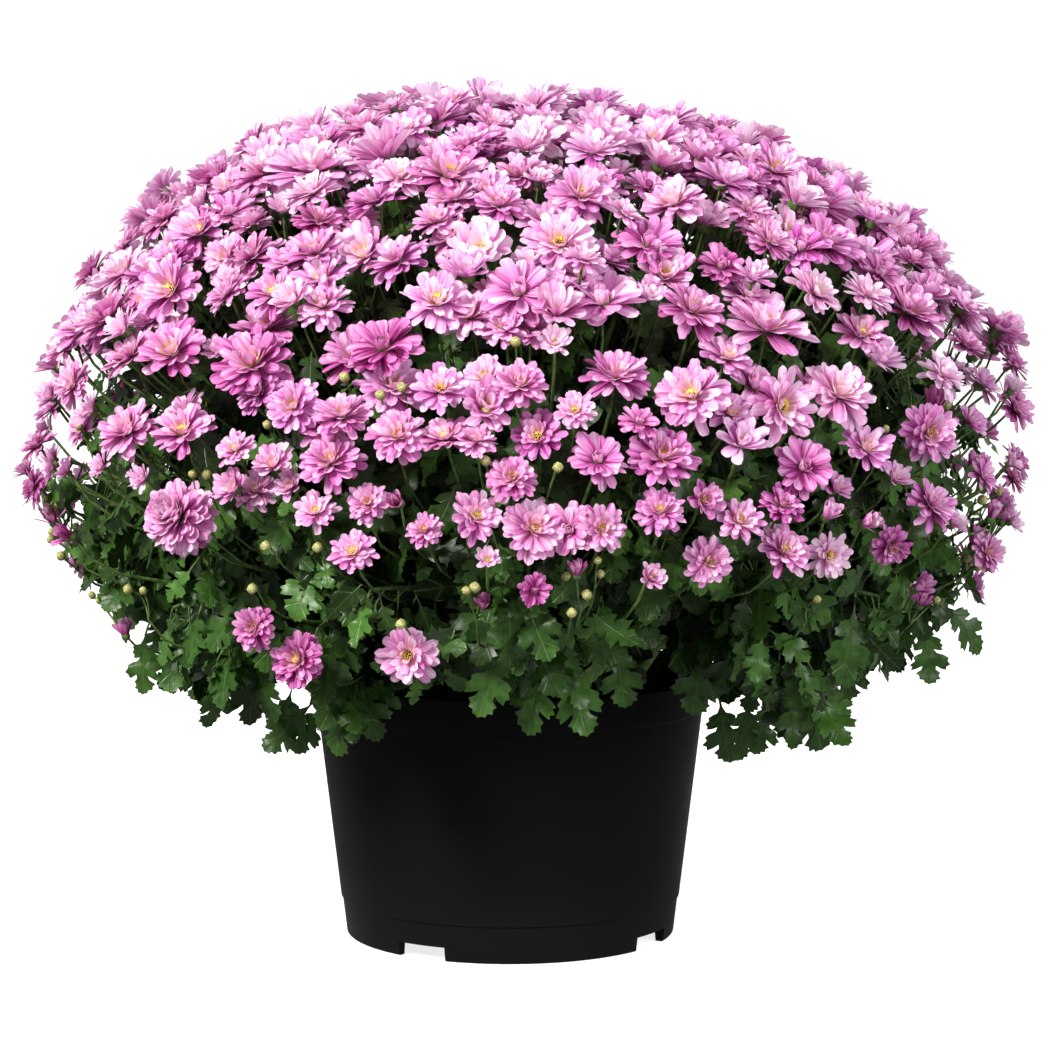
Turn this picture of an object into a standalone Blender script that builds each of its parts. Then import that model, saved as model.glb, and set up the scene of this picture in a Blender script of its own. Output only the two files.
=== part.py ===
"""Pot chrysanthemum: a dome of pink double blooms on leafy stems, in a black nursery pot.

Metres, +Z up. The origin is the centre of the pot's underside, the front is -Y and
+X is to the right. The plant's dome stands a little to the right of the pot's axis.
"""

import math

import bmesh
import bpy
import numpy as np
from mathutils import Matrix, Vector
from mathutils.bvhtree import BVHTree

# Pot, a thin moulded nursery pot with a collar and a notched foot
POT_HEIGHT = 0.160
POT_FOOT_RADIUS = 0.0995
POT_DRAFT = 0.120            # growth of the radius for each metre of height
POT_STEP = 0.0008            # ledge above the foot
POT_STEP_HEIGHT = 0.022
POT_COLLAR_LOW = 0.139
POT_COLLAR = 0.003           # how far the collar stands out of the wall
POT_WALL = 0.0022
POT_FLOOR_UNDER = 0.009      # the floor is raised on the foot ring and a hub
POT_FLOOR_TOP = 0.0115
POT_FOOT_RING = 0.005
POT_HUB_RADIUS = 0.013
POT_EDGE = 0.001             # slope inside the foot ring and on the step, and how much thicker the rim is
POT_FLARE = 0.004            # inside, the wall starts to widen for the collar this far below it
POT_FLARE_END = 0.002
POT_SIDES = 32
POT_START = math.pi / POT_SIDES     # the rings start half a side round, so no corner faces +X
NOTCH_HEIGHT = 0.0085
NOTCH_WIDTH = 0.032
NOTCH_AZIMUTH = -31.7        # degrees from the front, towards +X; the rest follow at 90
NOTCH_INSIDE = 0.004         # how far the cutter stands inside the foot ring, outside it and below it
NOTCH_OUTSIDE = 0.008
NOTCH_BELOW = 0.001
NOTCHES = 4

# Soil, filled to a finger's width under the rim
SOIL_TOP = 0.141
SOIL_GAP = 0.0003            # to the pot's floor and to the stems' ends
SOIL_SIDE_GAP = 0.0006       # to the pot's wall
SOIL_SHOULDER = 0.005        # the filling leaves the wall this far below the collar
SOIL_BEVEL = 0.0043          # how far its top edge then stands in from the wall, and under its middle
SOIL_CROWN = 0.002
STEM_GAP = 0.0004

# Dome of the plant, an oblate form with a shallower underside
DOME_X = 0.009
DOME_Z = 0.286
DOME_RADIUS = 0.297
DOME_UP = 0.219
DOME_DOWN = 0.185
# Shoulders and hollows of the outline: azimuth and latitude in degrees, height in metres, width
SWELLS = [
    (-95.0, 43.0, 0.007, 24.0),
    (-93.0, 16.0, -0.008, 16.0),
    (86.0, 26.0, 0.004, 22.0),
    (-60.0, 62.0, 0.005, 22.0),
    (0.0, 86.0, -0.004, 20.0),
    (178.0, 30.0, 0.006, 26.0),
]

# Leafy stems: each stands in the soil and carries a lobe of the bush's core
INNER_STEMS = 3
OUTER_STEMS = 9
INNER_LOBE_RADIUS = 0.045
OUTER_LOBE_RADIUS = 0.165
INNER_ROOT_RADIUS = 0.025
OUTER_ROOT_RADIUS = 0.070
INNER_JOIN_RADIUS = 0.045
OUTER_JOIN_RADIUS = 0.118
STEM_RADIUS = 0.004
STEM_SIDES = 6
STEM_ROOT_Z = 0.095
STEM_JOIN_Z = 0.186
CORE_SCALE = 0.76
CORE_FLOOR = 0.172
CORE_SIDES = 18
CORE_LATITUDES = [-30.0, -5.0, 20.0, 43.0, 66.0]
LOBE_GAP = 0.0004
INNER_START = 20.0           # azimuth of the first inner stem, in degrees

# Leaves, lobed blades a third larger than life so that they still cover the bush
LEAVES = 170
LEAF_LENGTH = 0.076
LEAF_THICK = 0.0034
LEAF_ROOT = 0.013            # how far a petiole is sunk into the core
LEAF_LOW = 0.182             # heights between which the leaves leave the core
LEAF_HIGH = 0.345
LEAF_SAG_LOW = 1.10          # how steeply the lowest and the highest leaves hang
LEAF_SAG_HIGH = 0.20
LEAF_SAG_INNER = 2.0         # how steeply the leaves hang that lie close over the core
LEAF_SWAY = 0.3              # spread of the ways that they point, sideways and down, and of their size
LEAF_SAG_SPREAD = 0.2
LEAF_SIZE_SPREAD = 0.12
LEAF_CROWD = 1.25            # over 1, the leaves stand closer together low down
LEAF_FACE_UP = 0.8           # how far their upper sides turn up from facing straight out
LEAF_DROOP = 0.12            # how far a blade's tip and lobes bend down, as a share of its length
LEAF_MIDDLE = 0.60           # where a blade is thickest, along it and down, as shares of its length
LEAF_MIDDLE_DROP = 0.05
LEAF_HIGH_SHARE = 0.6        # above this share of their heights all leaves lie close over the core
LEAF_TRIALS = (1.0, 0.85, 0.7)      # sizes that are tried where a leaf has little room
# Half outlines, along the leaf and out to one side, as shares of its length
FIVE_LOBES = [(0.46, 0.24), (0.55, 0.13), (0.72, 0.33), (0.79, 0.14)]
THREE_LOBES = [(0.60, 0.33), (0.70, 0.15)]

# Blooms: azimuth in degrees from the front, height and diameter in millimetres
PLACED_BLOOMS = [
    (-39.6, 279, 45), (-32.5, 219, 27), (-28.3, 201, 32), (-13.6, 208, 34),
    (1.0, 247, 18), (-18.1, 267, 27), (-22.2, 288, 25), (-10.4, 280, 21),
    (-32.2, 319, 24), (-27.3, 312, 27), (7.9, 281, 28), (1.0, 281, 37),
    (-62.0, 258, 17), (-3.9, 264, 17), (28.4, 265, 32), (19.6, 261, 28),
    (22.8, 283, 28), (50.4, 234, 14), (67.7, 245, 26), (49.6, 283, 33),
    (-79.0, 277, 27), (-76.0, 304, 26), (7.6, 318, 33), (12.2, 337, 23),
    (-5.1, 328, 24), (-1.3, 308, 29), (-13.4, 330, 35), (23.3, 324, 33),
    (30.7, 310, 34), (39.5, 318, 34), (-49.0, 324, 40), (-19.8, 340, 34),
    (14.0, 290, 28), (13.2, 253, 20), (61.4, 293, 24), (76.5, 258, 20),
    (33.4, 282, 13), (38.7, 276, 16), (-13.0, 294, 12), (5.3, 343, 23),
    (-9.1, 354, 31), (-0.5, 357, 32),
]
# Dark gaps where no bloom stands, in the same terms
GAPS = [
    (-5.6, 382, 30), (9.6, 300, 16), (40.0, 377, 34), (-23.0, 368, 22),
    (-8.8, 306, 28), (3.6, 302, 14), (20.0, 374, 20), (-36.0, 304, 32),
    (-31.0, 344, 18), (49.0, 346, 18), (100.0, 340, 34), (150.0, 350, 30),
    (-130.0, 340, 34), (-165.0, 310, 30),
]
COVER_BLOOMS = 284           # the close cover of the dome
STRAY_BLOOMS = 22            # single low blooms round the sides and back
STRAY_FROM = 88.0            # azimuths in degrees that they fill, and their heights
STRAY_SPAN = 184.0
STRAY_LOW = 0.205
STRAY_RISE = 0.075
STRAY_LEAST = 0.009
STRAY_MOST = 0.017
STRAY_HIGH = 0.6             # under 1, more of them stand in the upper part
BUDS = 24
BUD_LOW = 0.215
BUD_RISE = 0.16
BUD_FLOOR = 0.205
BUD_TURN = 1.3               # turn between buds, in golden angles
BUD_ROOM = 0.004             # clear room that a bud keeps round it
BLOOM_RADIUS = 0.0222
BLOOM_SPREAD = 0.0030
BLOOM_LEAST = 0.0150
BLOOM_MOST = 0.0280
BUD_RADIUS = 0.0034
COVER_LOW = 0.282            # lowest blooms of the cover, and how that varies round the dome
COVER_SWAY = 0.024
COVER_RIPPLE = 0.006
BLOOM_LIFT = 0.005           # spread of the blooms' heights above and below the dome
BLOOM_LIFT_UP = 0.30         # how far the blooms turn up from the dome's own slope
BLOOM_LEAN = 0.14            # spread of the ways that they face
GOLDEN = 180.0 * (3.0 - math.sqrt(5.0))     # angle in degrees that spreads points evenly
SPREAD_ROUNDS = 130
SPREAD_ROOM = 1.04           # share of two radii that neighbours are pushed to
SPREAD_PUSH = 0.35           # share of the lack that each round makes up
SEED = 11

# Sprays: each gathers its blooms' stalks in one node above the bush's core
SPRAYS = 44
SPRAY_MOST = 12              # blooms and buds that one spray can hold
SETTLE_ROUNDS = 20
HUB_SCALE = 0.815
HUB_RADIUS = 0.0036
STALK_RADIUS = 0.0013
SPRAY_STALK_RADIUS = 0.00195
SEAT_GAP = 0.0003
PETALS = 5                   # outer petals of a plain bloom; as many inner ones stand between them
WIDE_PETALS = 6              # the same on a wide one
WIDE_BLOOM = 0.0225
INNER_PETAL = 0.84           # reach and height of the inner petals, as shares of the bloom's radius
INNER_RISE = 0.34
BLOOM_CROWN = 0.10           # height of a bloom's middle and of a bud's tip, as shares of the radius
BUD_CROWN = 1.1
NODE_GAP = 0.0004
BLOOM_DEPTH = 0.34           # from the rim's plane down to the stalk, as a share of the radius
HUB_TRIALS = 12              # turns of the node that are tried, and the angle between them
HUB_TURN = math.pi / 18.0
FIRST_GROWTH = 1.30          # blooms start this much over their clear radius and shrink until they fit
MOST_GROWTH = 1.06
FIT_STEP = 0.95
FIT_ROUNDS = 14
FINAL_EASE = 0.985


def clear_scene():
    for item in list(bpy.data.objects):
        bpy.data.objects.remove(item, do_unlink=True)


def material(name, colour, roughness):
    made = bpy.data.materials.new(name)
    made.use_nodes = True
    shader = made.node_tree.nodes["Principled BSDF"]
    shader.inputs["Base Color"].default_value = (*colour, 1.0)
    shader.inputs["Roughness"].default_value = roughness
    shader.inputs["Metallic"].default_value = 0.0
    return made


def mesh_object(name, vertices, faces, finish=None):
    mesh = bpy.data.meshes.new(name)
    mesh.from_pydata([tuple(v) for v in vertices], [], faces)
    mesh.validate()
    item = bpy.data.objects.new(name, mesh)
    bpy.context.scene.collection.objects.link(item)
    if finish is not None:
        mesh.materials.append(finish)
    return item


def around(azimuth):
    """Unit direction in plan at an azimuth in degrees from the front, towards +X."""
    turn = math.radians(azimuth)
    return Vector((math.sin(turn), -math.cos(turn), 0.0))


def turned(profile, sides, start=0.0):
    """Vertices and faces of a closed profile of (radius, height), run anticlockwise, turned about Z.

    The first corner of each ring stands at the start angle, in radians from +X.
    """
    vertices = []
    rings = []
    for radius, height in profile:
        if radius == 0.0:
            rings.append([len(vertices)])
            vertices.append((0.0, 0.0, height))
            continue
        rings.append(list(range(len(vertices), len(vertices) + sides)))
        for step in range(sides):
            turn = start + 2.0 * math.pi * step / sides
            vertices.append((radius * math.cos(turn), radius * math.sin(turn), height))
    faces = []
    for low, high in zip(rings, rings[1:]):
        for step in range(sides):
            after = (step + 1) % sides
            a, b = low[step % len(low)], low[after % len(low)]
            c, d = high[after % len(high)], high[step % len(high)]
            corners = []
            for corner in (a, b, c, d):
                if corner not in corners:
                    corners.append(corner)
            faces.append(corners)
    return vertices, faces


def cut(item, cutter):
    """Cut a shape out of an object, leaving the modifier applied and the cutter gone."""
    change = item.modifiers.new("cut", "BOOLEAN")
    change.operation = "DIFFERENCE"
    change.object = cutter
    change.solver = "EXACT"
    apply_modifiers(item)
    bpy.data.objects.remove(cutter, do_unlink=True)


def apply_modifiers(item):
    graph = bpy.context.evaluated_depsgraph_get()
    result = bpy.data.meshes.new_from_object(item.evaluated_get(graph))
    item.modifiers.clear()
    item.data = result


def join(item, pieces):
    """Fuse loose pieces into an object with one union, then remove the pieces.

    The exact solver takes minutes over these many leaves, so this uses the one for closed meshes.
    """
    group = bpy.data.collections.new(item.name + "_pieces")
    bpy.context.scene.collection.children.link(group)
    for piece in pieces:
        bpy.context.scene.collection.objects.unlink(piece)
        group.objects.link(piece)
    change = item.modifiers.new("join", "BOOLEAN")
    change.operation = "UNION"
    change.operand_type = "COLLECTION"
    change.collection = group
    change.solver = "MANIFOLD"
    apply_modifiers(item)
    for piece in pieces:
        bpy.data.objects.remove(piece, do_unlink=True)
    bpy.data.collections.remove(group)


def wall_radius(height):
    """Outer radius of the pot's wall, under the collar."""
    ledge = POT_STEP if height > POT_STEP_HEIGHT else 0.0
    return POT_FOOT_RADIUS + ledge + POT_DRAFT * height


def make_pot(finish):
    collar_low = wall_radius(POT_COLLAR_LOW)
    collar_out = collar_low + POT_COLLAR
    rim_out = collar_out + POT_DRAFT * (POT_HEIGHT - POT_COLLAR_LOW)
    ring_in = POT_FOOT_RADIUS - POT_FOOT_RING
    flare = POT_COLLAR_LOW - POT_FLARE
    profile = [
        (0.0, 0.0),
        (POT_HUB_RADIUS, 0.0),
        (POT_HUB_RADIUS, POT_FLOOR_UNDER),
        (ring_in - POT_EDGE, POT_FLOOR_UNDER),
        (ring_in, 0.0),
        (POT_FOOT_RADIUS, 0.0),
        (wall_radius(POT_STEP_HEIGHT), POT_STEP_HEIGHT),
        (wall_radius(POT_STEP_HEIGHT + POT_EDGE), POT_STEP_HEIGHT + POT_EDGE),
        (collar_low, POT_COLLAR_LOW),
        (collar_out, POT_COLLAR_LOW),
        (rim_out, POT_HEIGHT),
        (rim_out - POT_WALL - POT_EDGE, POT_HEIGHT),
        (collar_out - POT_WALL - POT_EDGE, POT_COLLAR_LOW - POT_FLARE_END),
        (wall_radius(flare) - POT_WALL, flare),
        (wall_radius(POT_FLOOR_TOP) - POT_WALL, POT_FLOOR_TOP),
        (0.0, POT_FLOOR_TOP),
    ]
    vertices, faces = turned(profile, POT_SIDES, POT_START)
    pot = mesh_object("pot", vertices, faces, finish)
    for number in range(NOTCHES):
        cutter = notch_cutter(NOTCH_AZIMUTH + number * 360.0 / NOTCHES)
        cut(pot, cutter)
    return pot


def notch_cutter(azimuth):
    """A block across the foot ring, from inside it to outside the wall."""
    out = around(azimuth)
    side = Vector((-out.y, out.x, 0.0))
    near = POT_FOOT_RADIUS - POT_FOOT_RING - NOTCH_INSIDE
    far = POT_FOOT_RADIUS + NOTCH_OUTSIDE
    vertices = []
    for height in (-NOTCH_BELOW, NOTCH_HEIGHT):
        for along, across in ((near, -1), (far, -1), (far, 1), (near, 1)):
            vertices.append(out * along + side * (across * NOTCH_WIDTH / 2) + Vector((0, 0, height)))
    faces = [(3, 2, 1, 0), (4, 5, 6, 7), (0, 1, 5, 4), (1, 2, 6, 5), (2, 3, 7, 6), (3, 0, 4, 7)]
    return mesh_object("notch_cutter", vertices, faces)


def make_soil(finish, stems):
    """The filling: a turned block inside the wall, with a plain hole for each stem."""
    gap = POT_WALL + SOIL_SIDE_GAP
    shoulder = POT_COLLAR_LOW - SOIL_SHOULDER
    bottom = POT_FLOOR_TOP + SOIL_GAP
    profile = [
        (0.0, bottom),
        (wall_radius(bottom) - gap, bottom),
        (wall_radius(shoulder) - gap, shoulder),
        (wall_radius(shoulder) - POT_WALL - SOIL_BEVEL, SOIL_TOP - SOIL_CROWN),
        (0.0, SOIL_TOP),
    ]
    vertices, faces = turned(profile, POT_SIDES, POT_START)
    soil = mesh_object("soil", vertices, faces, finish)
    for foot, top in stems:
        along = (top - foot).normalized()
        start = foot - along * SOIL_GAP
        cutter = tube("hole_cutter", [start, top], [STEM_RADIUS + STEM_GAP] * 2, STEM_SIDES)
        cut(soil, cutter)
    return soil


def tube(name, points, radii, sides, finish=None):
    """A closed straight-sided tube through points, with flat ends."""
    vertices, faces = tube_shape(points, radii, sides)
    return mesh_object(name, vertices, faces, finish)


def tube_shape(points, radii, sides):
    vertices = []
    faces = []
    for number, (point, radius) in enumerate(zip(points, radii)):
        before = points[max(number - 1, 0)]
        after = points[min(number + 1, len(points) - 1)]
        across, up = side_axes(after - before)
        for step in range(sides):
            turn = 2.0 * math.pi * step / sides
            vertices.append(point + across * (radius * math.cos(turn)) + up * (radius * math.sin(turn)))
        if number:
            low = (number - 1) * sides
            for step in range(sides):
                after_step = (step + 1) % sides
                faces.append((low + step, low + after_step, low + sides + after_step, low + sides + step))
    faces.append(tuple(reversed(range(sides))))
    faces.append(tuple(range(len(vertices) - sides, len(vertices))))
    return vertices, faces


def side_axes(along):
    """Two unit directions across a direction, so that the three are right-handed."""
    along = along.normalized()
    guide = Vector((0, 0, 1)) if abs(along.z) < 0.9 else Vector((1, 0, 0))
    across = guide.cross(along).normalized()
    return across, along.cross(across)


def swell(direction):
    """How far the dome stands out of its plain form in a direction."""
    total = 0.0
    for azimuth, latitude, height, width in SWELLS:
        rise = math.radians(latitude)
        peak = around(azimuth) * math.cos(rise) + Vector((0, 0, math.sin(rise)))
        angle = math.degrees(math.acos(max(-1.0, min(1.0, peak.dot(direction)))))
        total += height * math.exp(-(angle / width) ** 2)
    return total


def dome_point(direction, scale=1.0, lift=0.0):
    """Point of the dome in a unit direction of its unit sphere, and the way out of the dome there."""
    tall = DOME_UP if direction.z > 0 else DOME_DOWN
    axes = Vector((DOME_RADIUS, DOME_RADIUS, tall))
    place = Vector([share * axis for share, axis in zip(direction, axes)]) * scale
    normal = Vector([share / axis for share, axis in zip(direction, axes)]).normalized()
    place += direction * (swell(direction) * scale) + normal * lift
    return place + Vector((DOME_X, 0.0, DOME_Z)), normal


def direction_at(azimuth, height):
    """Direction of the unit sphere for an azimuth in degrees and a height in metres."""
    tall = DOME_UP if height > DOME_Z else DOME_DOWN
    rise = max(-0.98, min(0.98, (height - DOME_Z) / tall))
    return around(azimuth) * math.sqrt(1.0 - rise * rise) + Vector((0, 0, rise))


def cover_edge(azimuth):
    """Height of the lowest blooms of the cover at an azimuth in degrees: lower at the front right."""
    turn = math.radians(azimuth)
    sway = COVER_SWAY * math.sin(2.0 * turn)
    return COVER_LOW - sway + COVER_RIPPLE * math.sin(3.0 * turn + 1.0)


def draw_sites(rng):
    """Directions, radii and kinds of all blooms, buds and gaps, spread until they stand apart."""
    directions = []
    radii = []
    kinds = []
    for kind, rows in (("placed", PLACED_BLOOMS), ("gap", GAPS)):
        for azimuth, height, width in rows:
            directions.append(direction_at(azimuth, height / 1000.0))
            radii.append(width / 2000.0)
            kinds.append(kind)
    for number in range(STRAY_BLOOMS):
        share = (-number * GOLDEN / 360.0) % 1.0
        azimuth = STRAY_FROM + STRAY_SPAN * share + rng.uniform(-5.0, 5.0)
        directions.append(direction_at(azimuth, STRAY_LOW + STRAY_RISE * rng.uniform() ** STRAY_HIGH))
        radii.append(rng.uniform(STRAY_LEAST, STRAY_MOST))
        kinds.append("stray")
    for number in range(COVER_BLOOMS):
        rise = 1.0 - (number + 0.5) / COVER_BLOOMS
        azimuth = number * GOLDEN + rng.uniform(-6.0, 6.0)
        directions.append(around(azimuth) * math.sqrt(1.0 - rise * rise) + Vector((0, 0, rise)))
        radii.append(min(BLOOM_MOST, max(BLOOM_LEAST, rng.normal(BLOOM_RADIUS, BLOOM_SPREAD))))
        kinds.append("cover")
    for number in range(BUDS):
        azimuth = number * GOLDEN * BUD_TURN + rng.uniform(-10.0, 10.0)
        directions.append(direction_at(azimuth, BUD_LOW + BUD_RISE * rng.uniform()))
        radii.append(BUD_RADIUS)
        kinds.append("bud")
    return spread_apart(directions, radii, kinds), radii, kinds


def spread_apart(directions, radii, kinds):
    """Push crowded sites apart over the dome; placed blooms, strays and gaps stay where they are."""
    rooms = np.array([r + (BUD_ROOM if kind == "bud" else 0.0) for r, kind in zip(radii, kinds)])
    free = [i for i, kind in enumerate(kinds) if kind in ("cover", "bud")]
    for _ in range(SPREAD_ROUNDS):
        places = np.array([dome_point(d)[0] for d in directions])
        between = places[:, None, :] - places[None, :, :]
        apart = np.linalg.norm(between, axis=2) + np.eye(len(places))
        lack = np.clip(SPREAD_ROOM * (rooms[:, None] + rooms[None, :]) - apart, 0.0, None)
        np.fill_diagonal(lack, 0.0)
        push = (between / apart[:, :, None] * lack[:, :, None]).sum(axis=1) * SPREAD_PUSH
        for i in free:
            moved = Vector(places[i] + push[i]) - Vector((DOME_X, 0.0, DOME_Z))
            tall = DOME_UP if moved.z > 0 else DOME_DOWN
            on_sphere = Vector((moved.x / DOME_RADIUS, moved.y / DOME_RADIUS, moved.z / tall)).normalized()
            azimuth = math.degrees(math.atan2(on_sphere.x, -on_sphere.y))
            edge = cover_edge(azimuth) if kinds[i] == "cover" else BUD_FLOOR
            low = direction_at(azimuth, edge)
            directions[i] = low if on_sphere.z < low.z else on_sphere
    return directions


def place_sites(rng):
    """Blooms and buds as (kind, place, facing, radius), each clear of the next."""
    directions, radii, kinds = draw_sites(rng)
    sites = []
    for direction, radius, kind in zip(directions, radii, kinds):
        lift = 0.0 if kind == "placed" else rng.uniform(-BLOOM_LIFT, BLOOM_LIFT)
        lean = Vector(rng.normal(0.0, BLOOM_LEAN, 3))
        place, normal = dome_point(direction, 1.0, lift)
        facing = (normal + Vector((0, 0, BLOOM_LIFT_UP)) + lean).normalized()
        if kind != "gap":
            sites.append((kind, place, facing, radius))
    return sites


def fitted_radius(number, sites):
    """Radius of a bloom that keeps its ball clear of every neighbour's ball."""
    _, place, _, radius = sites[number]
    best = radius
    for other, (_, there, _, room) in enumerate(sites):
        if other != number:
            share = radius / (radius + room)
            best = min(best, (place - there).length * share - NODE_GAP)
    return best


def gather(sites):
    """Share the sites among the sprays: groups that settle round their own middles."""
    places = np.array([site[1] for site in sites])
    middles = [places[0]]
    for _ in range(SPRAYS - 1):
        nearest = np.min([np.linalg.norm(places - m, axis=1) for m in middles], axis=0)
        middles.append(places[int(np.argmax(nearest))])
    for _ in range(SETTLE_ROUNDS):
        owner = nearest_owner(places, middles)
        middles = [places[owner == k].mean(axis=0) for k in range(SPRAYS)]
    return [[int(i) for i in np.flatnonzero(owner == k)] for k in range(SPRAYS)]


def nearest_owner(places, middles):
    """The nearest middle to each place, where no middle takes more than a spray holds."""
    away = np.array([np.linalg.norm(places - m, axis=1) for m in middles])
    owner = np.full(len(places), -1)
    for pair in np.argsort(away, axis=None, kind="stable"):
        k, i = divmod(int(pair), len(places))
        if owner[i] < 0 and np.count_nonzero(owner == k) < SPRAY_MOST:
            owner[i] = k
    return owner


def icosahedron(axis, turn):
    """Corners and faces of a small twenty-faced node with one face square to the axis."""
    ball = bmesh.new()
    bmesh.ops.create_icosphere(ball, subdivisions=1, radius=1.0)
    ball.faces.ensure_lookup_table()
    stand = ball.faces[0].normal.rotation_difference(axis).to_matrix()
    spin = Matrix.Rotation(turn, 3, axis)
    corners = [spin @ (stand @ v.co) for v in ball.verts]
    faces = [tuple(v.index for v in f.verts) for f in ball.faces]
    ball.free()
    return corners, faces


def face_normal(corners, face):
    a, b, c = [corners[i] for i in face]
    return (b - a).cross(c - a).normalized()


def deal_faces(normals, aims):
    """Give each aim its own face of the node, so that the turns are small in sum."""
    owned = []
    for aim in aims:
        left = [f for f in range(len(normals)) if f not in owned]
        owned.append(max(left, key=lambda f: normals[f].dot(aim)))
    better = True
    while better:
        better = False
        for i in range(len(aims)):
            for f in range(len(normals)):
                j = owned.index(f) if f in owned else None
                if j == i:
                    continue
                gain = normals[f].dot(aims[i]) - normals[owned[i]].dot(aims[i])
                if j is not None:
                    gain += normals[owned[i]].dot(aims[j]) - normals[f].dot(aims[j])
                if gain > 1e-6:
                    if j is not None:
                        owned[j] = owned[i]
                    owned[i] = f
                    better = True
    return owned


def flower_shape(kind, place, facing, radius, turn):
    """Rim points in order, and the top point, of a bloom or a bud."""
    across, up = side_axes(facing)
    rim = []
    if kind == "bud":
        for step in range(4):
            angle = turn + step * math.pi / 2
            rim.append(place + across * (radius * math.cos(angle)) + up * (radius * math.sin(angle)))
        return rim, place + facing * radius * BUD_CROWN
    petals = WIDE_PETALS if radius > WIDE_BLOOM else PETALS
    for step in range(petals):
        angle = turn + step * 2.0 * math.pi / petals
        outward = across * math.cos(angle) + up * math.sin(angle)
        rim.append(place + outward * radius)
        angle += math.pi / petals
        outward = across * math.cos(angle) + up * math.sin(angle)
        rim.append(place + outward * (INNER_PETAL * radius) + facing * (INNER_RISE * radius))
    return rim, place + facing * (BLOOM_CROWN * radius)


def ring_to_ring(ring, rim, vertices):
    """Triangles between a small ring and a wider rim that turn the same way round."""
    middle = sum((vertices[i] for i in ring), Vector()) / len(ring)
    wide = sum((vertices[i] for i in rim), Vector()) / len(rim)
    along = (wide - middle).normalized()
    across, up = side_axes(along)

    def angle_of(index, centre):
        spoke = vertices[index] - centre
        return math.atan2(spoke.dot(up), spoke.dot(across))

    start = angle_of(ring[0], middle)
    first = min(range(len(rim)), key=lambda k: abs(wrapped(angle_of(rim[k], wide) - start)))
    rim = rim[first:] + rim[:first]
    faces = []
    i = 0
    j = 0
    while i < len(ring) or j < len(rim):
        next_ring = (i + 1) / len(ring)
        next_rim = (j + 1) / len(rim)
        if j < len(rim) and (next_rim <= next_ring or i >= len(ring)):
            faces.append((ring[i % len(ring)], rim[(j + 1) % len(rim)], rim[j % len(rim)]))
            j += 1
        else:
            faces.append((ring[i % len(ring)], ring[(i + 1) % len(ring)], rim[j % len(rim)]))
            i += 1
    return faces


def wrapped(angle):
    return (angle + math.pi) % (2.0 * math.pi) - math.pi


def spray_node(members, sites):
    """Place of a spray's node, the way out of the dome there, its corners and faces, and their owners.

    The first owned face carries the node's own stalk and the others a member's each.
    """
    middle = sum((sites[i][1] for i in members), Vector()) / len(members)
    outward = middle - Vector((DOME_X, 0.0, DOME_Z))
    tall = DOME_UP if outward.z > 0 else DOME_DOWN
    direction = Vector((outward.x / DOME_RADIUS, outward.y / DOME_RADIUS, outward.z / tall)).normalized()
    hub, normal = dome_point(direction, HUB_SCALE)
    aims = [-normal] + [(sites[i][1] - hub).normalized() for i in members]
    best = None
    for step in range(HUB_TRIALS):
        corners, faces = icosahedron(-normal, step * HUB_TURN)
        normals = [face_normal(corners, face) for face in faces]
        owned = deal_faces(normals, aims)
        score = min(normals[f].dot(aim) for f, aim in zip(owned, aims))
        if best is None or score > best[0]:
            best = (score, corners, faces, owned)
    _, corners, faces, owned = best
    return hub, normal, corners, faces, owned


def spray_shape(members, sites, node, core_tree, turns, radii):
    """One closed mesh: a node on its own short stalk, with a stalk and a bloom from each of its faces.

    Also gives the site that each face belongs to, or -1 for the node and its stalk.
    """
    hub, normal, corners, faces, owned = node
    vertices = [hub + corner * HUB_RADIUS for corner in corners]
    shell = [face for number, face in enumerate(faces) if number not in owned]
    seat, seat_normal, _, _ = core_tree.ray_cast(hub, -normal)
    seat += seat_normal * SEAT_GAP
    end = add_ring(vertices, faces[owned[0]], seat, -seat_normal, SPRAY_STALK_RADIUS)
    shell += tube_faces(faces[owned[0]], end)
    shell.append(tuple(end))
    owners = [-1] * len(shell)
    for i, own in zip(members, owned[1:]):
        kind, place, facing, _ = sites[i]
        depth = 1.0 if kind == "bud" else BLOOM_DEPTH
        neck_place = place - facing * (depth * radii[i])
        neck = add_ring(vertices, faces[own], neck_place, (neck_place - hub).normalized(), STALK_RADIUS)
        shell += tube_faces(faces[own], neck)
        rim_points, top = flower_shape(kind, place, facing, radii[i], turns[i])
        rim = list(range(len(vertices), len(vertices) + len(rim_points)))
        vertices += rim_points
        shell += ring_to_ring(neck, rim, vertices)
        vertices.append(top)
        for a, b in zip(rim, rim[1:] + rim[:1]):
            shell.append((a, b, len(vertices) - 1))
        owners += [i] * (len(shell) - len(owners))
    return vertices, shell, owners


def fit_sprays(sites, core_tree, turns):
    """Shapes of all sprays, with each bloom as wide as it can be without touching what is near it."""
    groups = gather(sites)
    nodes = [spray_node(members, sites) for members in groups]
    radii = [
        room if kind == "bud" else min(room * MOST_GROWTH, fitted_radius(i, sites) * FIRST_GROWTH)
        for i, (kind, _, _, room) in enumerate(sites)
    ]
    for _ in range(FIT_ROUNDS):
        vertices, faces, owners = merged(
            [spray_shape(m, sites, n, core_tree, turns, radii) for m, n in zip(groups, nodes)])
        tree = tree_of(vertices, faces)
        tight = set()
        for a, b in tree.overlap(tree):
            if owners[a] != owners[b] and not set(faces[a]) & set(faces[b]):
                tight.update((owners[a], owners[b]))
        tight.discard(-1)
        if not tight:
            break
        for i in tight:
            if sites[i][0] != "bud":
                radii[i] *= FIT_STEP
    radii = [
        radius if site[0] == "bud" else radius * FINAL_EASE
        for radius, site in zip(radii, sites)
    ]
    return [spray_shape(m, sites, n, core_tree, turns, radii) for m, n in zip(groups, nodes)]


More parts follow.
